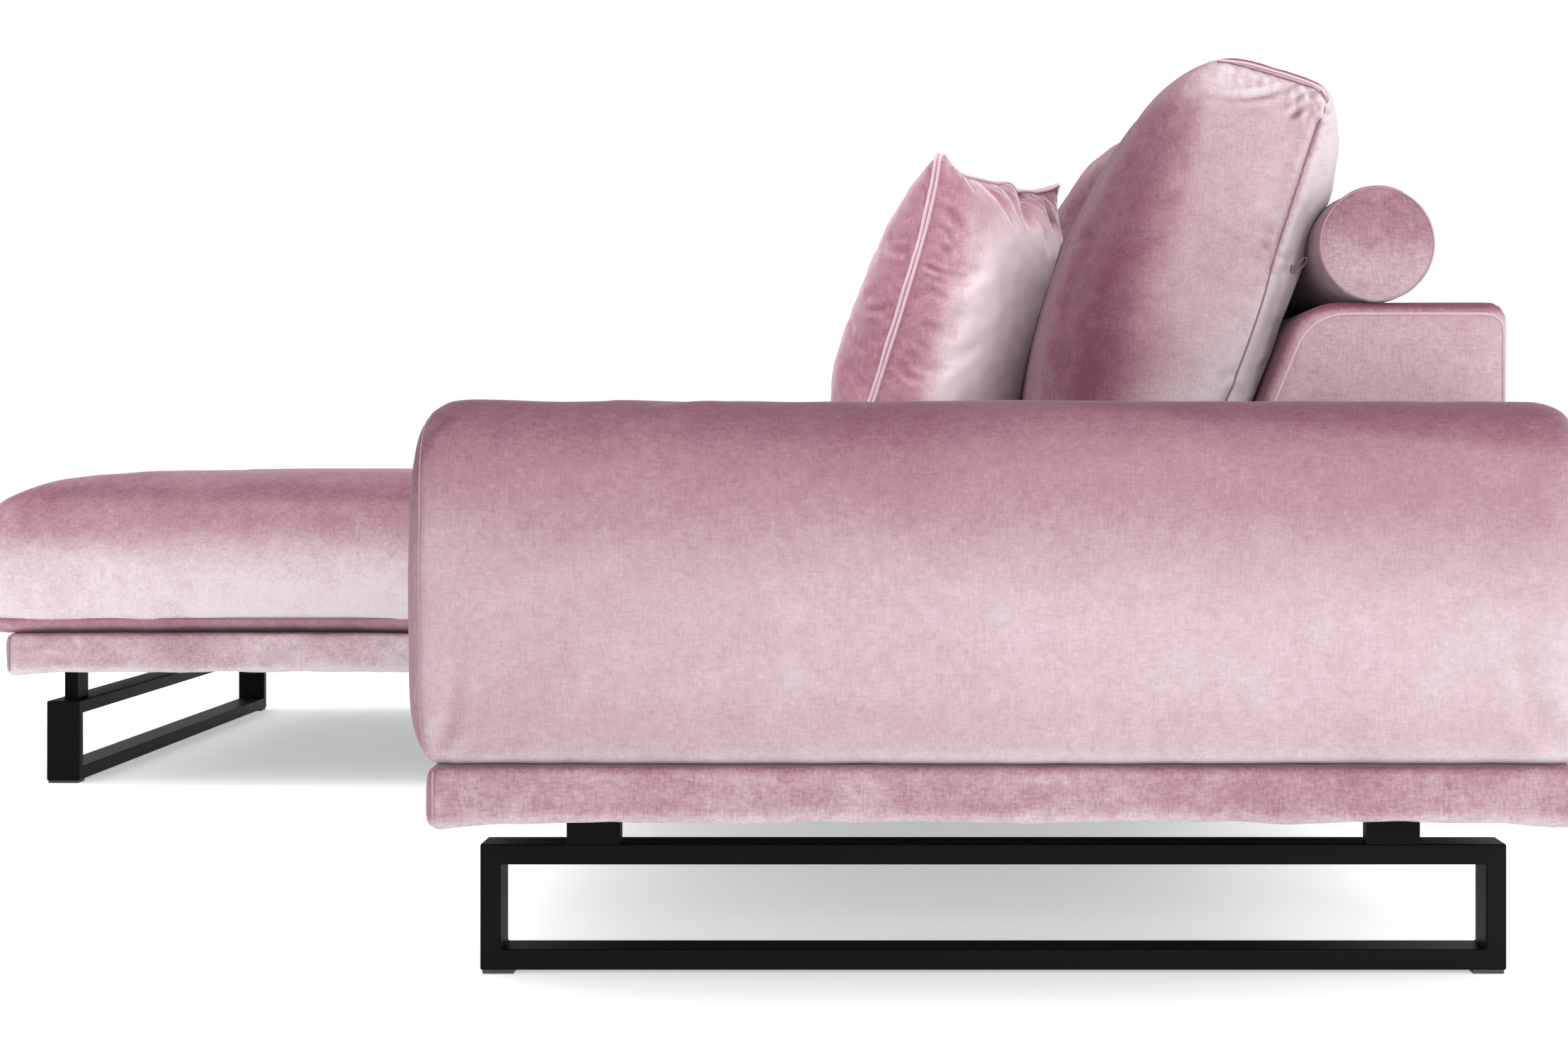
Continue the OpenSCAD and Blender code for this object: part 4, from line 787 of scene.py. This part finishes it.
def back_cushion(key):
    x0, x1, ahead = BACKS[key]
    outline = back_outline(ahead, {"b": 0.08, "d": 0.03}.get(key, 0.0))
    body = "back_cushion_" + key
    obj = prism(f"back_{key}_velvet", x0, x1, 0.009, outline, 0.013, 190)
    set_coords(obj, keep_behind(coords(obj)))
    tops, rears = [], []
    for x in (x0, x1):
        curve = end_curve(outline, x, 220)[:-1]
        s = (curve[:, 2] - SEAT_TOP) / H
        off = curve[:, 1] - FOOT_Y + ahead - (curve[:, 2] - SEAT_TOP) * math.tan(LEAN)
        tops.append(opened(curve[(s > 0.90) & (off > -0.047) & (off < 0.0775)], 0.02))
        rears.append(opened(curve[(s > 0.012) & (s < 0.925) & (off > 0.05)], 0.02))
    soften(obj, {"a": 0.0075, "b": 0.0095}.get(key, 0.0115), 3, tops + rears,
           cap=0.007, grow=0.012, frames=18, pin_width=0.012)
    seed = 30 + 5 * "abcd".index(key)
    undulate(obj, 0.0028, 0.12, seed)
    undulate(obj, 0.0009, 0.035, seed + 1)
    if key in "ab":
        refine(obj, lambda v: v.z > 0.80 and v.x > x1 - 0.035)
    creases(obj, back_folds(key, x0, -1) + back_folds(key, x1, 1))
    for s in tops:
        groove(obj, s, 0.0034, 0.0028)
    for s in rears:
        groove(obj, s, 0.0028, 0.0030)
    co = keep_behind(coords(obj))
    co[:, 2] = np.maximum(co[:, 2], SEAT_TOP + 0.0003)
    for end, way in ((x0, -1), (x1, 1)):
        over = way * (co[:, 0] - end) - 0.003
        co[:, 0] = np.where(over > 0, end + way * (0.003 + 0.010 * np.tanh(over / 0.010)), co[:, 0])
    set_coords(obj, co)
    dress(obj, VELVET_BACK, body, "velvet", "back_cushion_cover_" + key, "back_cushion_core_" + key)
    for k, s in enumerate(tops):
        strand(f"back_{key}_top_seam_{k}", s + [0, 0.0006, 0.0026], 0.0014, SEAM_SOFT, body, on=obj, out=0.0002)
        strand(f"back_{key}_top_stitch_{k}", s - [0, 0.0005, 0.0012], 0.0009, SEAM_DARK, body, on=obj, out=0.0001)
    for k, s in enumerate(rears):
        strand(f"back_{key}_seam_{k}", s, 0.0011, SEAM_ROSE, body, on=obj, out=0.0002)


for key in "abcd":
    back_cushion(key)


# Zip sliders with their pull loops, in the boxing behind the end seam
for key in BACKS:
    low, high = (np.array(v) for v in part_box("back_cushion_zip_" + key))
    x, z = (low[0] + high[0]) / 2, (low[2] + high[2]) / 2
    body = "back_cushion_" + key
    hit = face_tree(bpy.data.objects[f"back_{key}_velvet"]).find_nearest(Vector((x, high[1] + 0.010, z)))[0]
    slider = mesh_object(f"back_{key}_zip", [(x + a * 0.0022, hit.y + b * 0.0012 - 0.0008, hit.z + c * 0.0040)
                                            for a in (-1, 1) for b in (-1, 1) for c in (-1, 1)],
                         [(0, 1, 3, 2), (4, 6, 7, 5), (0, 4, 5, 1), (2, 3, 7, 6), (0, 2, 6, 4), (1, 5, 7, 3)])
    modify(slider, "BEVEL", width=0.0010, segments=3)
    dress(slider, ZIP_PAINTED_SHADE, body, "zinc", "back_cushion_zip_" + key)
    t = angles(28)
    loop = np.column_stack([x + 0.0010 * np.sin(t), hit.y + 0.0080 + 0.0058 * np.cos(t) + 0.0022 * np.sin(t),
                            hit.z + 0.0040 + 0.0074 * np.cos(t) - 0.0013 * np.sin(t)])
    strand(f"back_{key}_zip_loop", loop, 0.0008, ZIP_PAINTED_SHADE, body, closed=True, slot="zinc")


# Bolsters
BOLSTERS = {"a": (0.5265, 1.203), "b": (-0.158, 0.5185), "c": (-0.8065, -0.168), "d": (-1.453, -0.8145)}


def around(x, a, r=BOLSTER_R):
    """Places on a bolster's round."""
    return np.stack([x + 0 * a, BOLSTER_Y + r * np.cos(a), BOLSTER_Z + r * np.sin(a)], -1)


def bolster_outline(d, half):
    a = angles(96)
    r = BOLSTER_R - 0.0012 + 0.0010 * float(turn(d, 0.003)) - 0.0003 * (1 + np.sin(3 * a + 0.6))
    return around(0, a, r)[:, 1:]


for key, (x0, x1) in BOLSTERS.items():
    roll = prism(f"bolster_{key}_velvet", x0 + 0.004, x1 - 0.004, 0.004, bolster_outline, 0.009, 96)
    undulate(roll, 0.0010, 0.05, 60 + ord(key))
    undulate(roll, 0.0006, 0.018, 64 + ord(key), (2, 1, 1))
    folds = []
    for k in range(9):
        a = 0.7 * k + 0.3 * math.sin(5.1 * k + ord(key))
        for x, sign in ((x0 + 0.004, 1), (x1 - 0.004, -1)):
            length = 0.020 + 0.012 * math.sin(2.3 * k + 1.0)
            folds.append(([around(x + sign * 0.003, a), around(x + sign * length, a + 0.06)], 0.0009, 0.0026))
    creases(roll, folds)
    co = coords(roll)
    d = co[:, 1:] - [BOLSTER_Y, BOLSTER_Z]
    far = np.linalg.norm(d, axis=1)
    co[:, 1:] = [BOLSTER_Y, BOLSTER_Z] + d * np.minimum(1, (BOLSTER_R - 0.0002) / np.maximum(far, 1e-6))[:, None]
    set_coords(roll, co)
    body = "bolster_" + key
    dress(roll, VELVET_ROLL, body, "velvet_dark", "bolster_cover_" + key, "bolster_core_" + key)
    for k, x in enumerate((x0 + 0.0038, x1 - 0.0038)):
        strand(f"bolster_{key}_seam_{k}", around(x, angles(90), BOLSTER_R - 0.0020), 0.0008, SEAM_MID, body,
               closed=True, slot="velvet_dark")


# Throw pillow: a square sheet pair, thin at the corners, with sides pulled in
HALF, THICK = 0.1875, 0.0965
PILLOW_AT = np.array([0.706, 0.4552, 0.65574])
PILLOW_BOW = [(-1, -0.008), (-0.2, -0.004), (0, -0.0025), (0.42, -0.0015), (0.75, -0.002), (1, -0.003)]


def turned(points):
    """From the pillow's own frame to the shared one."""
    a, b = math.radians(-17.5), math.radians(-24)
    rx = np.array([[1, 0, 0], [0, math.cos(a), -math.sin(a)], [0, math.sin(a), math.cos(a)]])
    rz = np.array([[math.cos(b), -math.sin(b), 0], [math.sin(b), math.cos(b), 0], [0, 0, 1]])
    return PILLOW_AT + np.asarray(points) @ (rz @ rx).T


def pillow_point(u, v, side):
    """A place on the pillow: u and v run from -1 to 1, side is -1 in front, 1 behind, 0 on the seam."""
    u, v = np.asarray(u, float), np.asarray(v, float)
    pull = 0.020
    x = u * (HALF - pull * (1 - np.abs(v) ** 6))
    z = v * (HALF - pull * (1 - np.abs(u) ** 6))
    thick = THICK * np.clip((1 - np.abs(u) ** 2.6) * (1 - np.abs(v) ** 2.6), 0, 1) ** 0.46 * (0.98 - 0.15 * v)
    ear, near = (np.exp(-(((u - at) ** 2 + (v - 1) ** 2) / 0.30**2)) for at in (-1, 1))
    return np.stack([x - 0.004 * ear, side * thick * (1 - 0.5 * ear) + 0.002 * ear + smooth(PILLOW_BOW, v),
                     z + 0.006 * ear + 0.004 * near + 0.003 * np.clip(v, 0, 1) ** 2], -1)


grid = np.sin(np.linspace(-1, 1, 73) * math.pi / 2)
uu, vv = (g.ravel() for g in np.meshgrid(grid, grid, indexing="ij"))
sheets = [turned(pillow_point(uu, vv, side)) for side in (-1, 1)]
n = len(grid)
faces = [(i * n + j, (i + 1) * n + j, (i + 1) * n + j + 1, i * n + j + 1) for i in range(n - 1) for j in range(n - 1)]
faces += [tuple(n * n + k for k in q[::-1]) for q in faces]
pillow = mesh_object("pillow_velvet", np.vstack(sheets), faces)
t = np.linspace(-1, 1, 60, endpoint=False)
one = np.ones_like(t)
edge = turned(np.vstack([pillow_point(t, one, 0), pillow_point(one, -t, 0), pillow_point(-t, -one, 0),
                         pillow_point(-one, t, 0)]))
edge_closed = np.vstack([edge, edge[:1]])
soften(pillow, 0.0058, 2, [edge_closed], cap=0.008, grow=0.020, pin_width=0.007)
undulate(pillow, 0.0022, 0.07, 80)
undulate(pillow, 0.0010, 0.022, 81)


def pillow_fold(side, depth, width, *run):
    return [turned(pillow_point(u, v, side)) for u, v in run], depth, width


folds = [pillow_fold(*row) for row in (
    (1, 0.0036, 0.0028, (0.995, 0.36), (0.94, 0.350), (0.82, 0.385)),
    (1, 0.0014, 0.0030, (0.98, 0.50), (0.94, 0.46), (0.93, 0.38)),
    (-1, 0.0036, 0.0042, (0.99, 0.40), (0.93, 0.40), (0.86, 0.41)),
    (-1, 0.0030, 0.0042, (0.99, 0.04), (0.93, 0.00), (0.87, 0.00)),
    (1, 0.0022, 0.0040, (0.98, -0.30), (0.94, -0.32), (0.90, -0.32)),
    (1, 0.0026, 0.0050, (0.98, 0.70), (0.90, 0.66), (0.84, 0.56)),
    (1, 0.0085, 0.0110, (-0.38, 1.00), (-0.12, 0.93), (0.16, 0.72)),
    (1, 0.0026, 0.0060, (0.02, 0.99), (0.14, 0.90), (0.24, 0.70)),
    (1, 0.0022, 0.0070, (0.30, 0.99), (0.36, 0.84), (0.36, 0.64)),
    (1, 0.0030, 0.0070, (-0.60, 0.97), (-0.46, 0.84), (-0.36, 0.62)))]
rng = np.random.default_rng(7)
for side in (-1, 1):
    for k in range(40):
        s = -0.78 + 1.56 * (k % 10) / 9 + 0.04 * rng.normal()
        length = 0.05 + 0.06 * rng.random()
        way = 1 if k < 20 else -1
        run = np.array([(0.975 * way, s), ((0.975 - length) * way, s + 0.05 * rng.normal())])
        if k // 10 % 2:
            run = run[:, ::-1]
        folds.append(pillow_fold(side, 0.0004 + 0.0008 * rng.random(), 0.0028 + 0.0014 * rng.random(), *run))
creases(pillow, folds)
groove(pillow, edge_closed, -0.0012, 0.0030)


def keep_in_front(obj, other, clear=0.0006):
    """Moves what reaches into the piece behind forward to its face."""
    tree = face_tree(other)
    co = coords(obj)
    for i in np.nonzero(co[:, 1] > co[:, 1].mean() - 0.06)[0]:
        x, y, z = co[i]
        hit = tree.ray_cast(Vector((x, -1.0, z)), Vector((0, 1, 0)))[0]
        if hit is not None and hit.y - clear < y:
            co[i, 1] = hit.y - clear
    set_coords(obj, co)


clip(pillow, (-FAR, -FAR, SEAT_TOP + 0.0004))
keep_in_front(pillow, bpy.data.objects["back_a_velvet"])
dress(pillow, VELVET_PILLOW, "throw_pillow", "velvet_dark", "pillow_cover", "pillow_insert")
above = opened(edge[edge[:, 2] > SEAT_TOP + 0.006], 0.02)
for k, aside in enumerate((-0.0023, 0.0023)):
    strand(f"pillow_edge_{k}", above + aside * np.array(PILLOW_FACE), 0.0022, SEAM_PALE, "throw_pillow",
           slot="velvet_dark", on=pillow, out=0.0010)


# Bases
def base(name, x0, x1, y0, y1, top, node, seed):
    """A low padded box with a drawn-in rim above and below, recessed underneath."""
    h, rim, recess = top - BASE_BOTTOM, 0.006, 0.0048

    def ring(grow, z):
        return seat_ring(x0 + grow, x1 - grow, y0 + grow, y1 - grow, z, 0.0, 110, 0.013)
    rings = toward_middle(ring(0.024, BASE_BOTTOM + recess), (0.3, 0.8, 0.97))
    rings += [ring(0.020, BASE_BOTTOM + recess), ring(0.016, BASE_BOTTOM)]
    rings += [ring(rim * abs(2 * t - 1) ** 7, BASE_BOTTOM + h * t) for t in np.linspace(0, 1, 15)]
    obj = loft(name, rings + toward_middle(ring(rim, top), (0.985, 0.9, 0.5, 0.2)))
    co = coords(obj)
    cx = np.minimum(np.abs(co[:, 0] - x0), np.abs(co[:, 0] - x1))
    cy = np.minimum(np.abs(co[:, 1] - y0), np.abs(co[:, 1] - y1))
    corner = np.exp(-((np.maximum(cx, cy) / 0.055) ** 2))
    side = (cx < 0.02) | (cy < 0.02)
    low = np.clip((top - co[:, 2]) / h, 0, 1)
    co[:, 2] -= 0.0055 * corner * low * side
    set_coords(obj, co)
    undulate(obj, 0.0022, 0.045, seed, (0.6, 0.6, 1))
    undulate(obj, 0.0010, 0.018, seed + 1, (0.7, 0.7, 1))
    clip(obj, high=(FAR, FAR, top - 0.0001))
    # The chaise base gets the copy painted lighter against its cushion's shade.
    dress(obj, VELVET_BASE if x0 > -1 else VELVET_BASE_FAR_PAINTED_LIGHTER, "sofa", "velvet", node)
    for k, (x, y, out) in enumerate((x, y, out) for x, out in ((x1, 1), (x0, -1)) for y in (y0 + 0.007, y1 - 0.007)):
        z = np.linspace(BASE_BOTTOM + 0.002, top - 0.004, 12)
        bulge = 0.0005 - rim * np.abs(2 * (z - BASE_BOTTOM) / h - 1) ** 7
        strand(f"{name}_seam_{k}", np.column_stack([x + out * bulge, np.full(12, y), z]), 0.0012, SEAM_MID, "sofa")


base("seat_base_velvet", SEAT_X0, ARM_X1, -0.034, REAR_Y + 0.008, SEAT_BASE_TOP, "seat_base_cover", 90)
base("chaise_base_velvet", CHAISE_X0, CHAISE_X1, -0.970, REAR_Y, CHAISE_BASE_TOP, "chaise_base_cover", 94)


# Dust cloths under the bases, each one flat sheet stapled along its edge
for label, node in (("seat_base_lining", "seat_base_dust_cloth"), ("chaise_base_lining", "chaise_base_dust_cloth")):
    low, high = (np.array(v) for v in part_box(node))
    bm = bmesh.new()
    bm.from_mesh(frame["nodes"][node].data)
    bmesh.ops.delete(bm, geom=[f for f in bm.faces if f.normal.z > -0.9], context="FACES")
    bmesh.ops.subdivide_edges(bm, edges=bm.edges[:], cuts=5, use_grid_fill=True)
    mesh = bpy.data.meshes.new(label)
    bm.to_mesh(mesh)
    bm.free()
    lining = link(label, mesh)
    co = coords(lining)
    co[:, 2] += 0.0005 + 0.0004 * grain(co / 0.15, 40 + len(label))
    set_coords(lining, co)
    dress(lining, CLOTH, "sofa", "cloth_black", node)


# Webbing on the base frames: straps woven over and under each other
for label, node in (("seat_base_straps", "seat_base_webbing"), ("chaise_base_straps", "chaise_base_webbing")):
    low, high = (np.array(v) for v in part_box(node))
    width, pitch, mid = 0.050, 0.105, (low[2] + high[2]) / 2
    lanes = [np.linspace(low[a] + width / 2, high[a] - width / 2, int((high[a] - low[a] - width) / pitch) + 1)
             for a in (0, 1)]
    verts, faces = [], []
    for a, b in ((0, 1), (1, 0)):
        for k, at in enumerate(lanes[a]):
            run = np.linspace(low[b], high[b], 12 * len(lanes[b]))
            phase = (run - lanes[b][0]) / (lanes[b][1] - lanes[b][0])
            over = 0.0009 * np.cos(math.pi * phase) * (-1) ** (k + a)
            start = len(verts)
            for r, o in zip(run, over):
                for side, dz in ((-1, -0.0007), (1, -0.0007), (1, 0.0007), (-1, 0.0007)):
                    v = [0, 0, mid + o + dz]
                    v[a], v[b] = at + side * width / 2, r
                    verts.append(v)
            last = start + 4 * (len(run) - 1)
            faces += [(i + j, i + (j + 1) % 4, i + 4 + (j + 1) % 4, i + 4 + j)
                      for i in range(start, last, 4) for j in range(4)]
            faces += [(start + 3, start + 2, start + 1, start), (last, last + 1, last + 2, last + 3)]
    dress(mesh_object(label, verts, faces), CLOTH, "sofa", "cloth_black", node)


# Sled legs: one welded loop of rounded tube
def loop_leg(name, centre, length, along_y, node):
    half_w, t, r, h0, h1 = 0.025, 0.020, 0.0018, 0.004, 0.126
    turns = np.radians(np.linspace(0, 90, 5))
    corner = np.column_stack([half_w - r + r * np.cos(turns), t / 2 - r + r * np.sin(turns)])
    sect = np.vstack([corner, corner[::-1] * [-1, 1], corner * [-1, -1], corner[::-1] * [1, -1]])
    reach, rings = length / 2 - t / 2, []
    for da, dz in ((-1, -1), (1, -1), (1, 1), (-1, 1)):
        along, across = da * (reach + sect[:, 1]), sect[:, 0]
        x, y = (across, along) if along_y else (along, across)
        z = (h0 + t / 2 if dz < 0 else h1 - t / 2) + dz * sect[:, 1]
        rings.append(np.column_stack([centre[0] + x, centre[1] + y, z]))
    obj = loft(name, rings, closed=True)
    modify(obj, "BEVEL", width=0.0014, segments=2, limit_method="ANGLE", angle_limit=math.radians(60))
    shade(obj.data, False)
    dress(obj, POWDER, "sofa", "steel_black", node)


loop_leg("arm_leg_loop", (1.230, 0.479), 0.995, True, "arm_leg")
loop_leg("middle_leg_loop", (0.069, 0.479), 0.995, True, "middle_leg")
loop_leg("chaise_front_loop", (-0.8125, -0.902), 1.170, False, "chaise_front_leg")
loop_leg("chaise_rear_loop", (-0.8125, 0.925), 1.170, False, "chaise_rear_leg")


# Nodes of the frame that stay in view as they are
MATERIALS = {"timber": TIMBER, "foam": FOAM, "cloth_black": CLOTH, "zinc": ZINC, "steel_black": POWDER,
             "glide_plastic": PLASTIC, "velvet": VELVET, "velvet_dark": VELVET_PILLOW}
slots = {s["node"]: s["material_slot"] for s in frame["record"]["subparts"]}
for name, obj in frame["nodes"].items():
    if obj.hide_render:
        continue
    obj.data.materials.clear()
    obj.data.materials.append(MATERIALS[slots[name]])

# Floor and light
floor_mesh = bpy.data.meshes.new("floor")
floor_mesh.from_pydata([(-30, -30, 0), (30, -30, 0), (30, 30, 0), (-30, 30, 0)], [], [(0, 1, 2, 3)])
floor = link("floor", floor_mesh)
floor_mat, tree, bsdf = material("floor")
feed(tree, bsdf, {"Base Color": (0.905, 0.935, 0.93, 1), "Roughness": 0.9, "Specular IOR Level": 0.1,
                  "Emission Color": (1, 1, 1, 1), "Emission Strength": 0.43})
floor.data.materials.append(floor_mat)

world = bpy.data.worlds.new("world")
scene.world = world
world.use_nodes = True
feed(world.node_tree, world.node_tree.nodes["Background"], {"Color": (1, 1, 1, 1), "Strength": 1.0})


def lamp(name, place, aim, size, power):
    data = bpy.data.lights.new(name, "AREA")
    data.shape, data.size, data.size_y, data.energy = "RECTANGLE", size[0], size[1], power
    obj = link(name, data)
    obj.location = place
    obj.rotation_euler = (Vector(aim) - Vector(place)).to_track_quat("-Z", "Y").to_euler()


lamp("key", (4.6, 1.2, 0.9), (1.0, 0.5, 0.5), (1.4, 1.0), 80)
lamp("side", (2.6, 3.6, 1.4), (0.8, 0.4, 0.5), (1.6, 1.6), 25)
lamp("top", (0.9, 0.2, 4.2), (0.9, 0.2, 0), (4, 3), 55)
lamp("rear", (-1.5, 4.0, 2.2), (-0.2, 0.4, 0.4), (2, 1.5), 40)
lamp("front", (-1.5, -4.5, 2.2), (-0.2, 0.2, 0.4), (2, 1.5), 22)
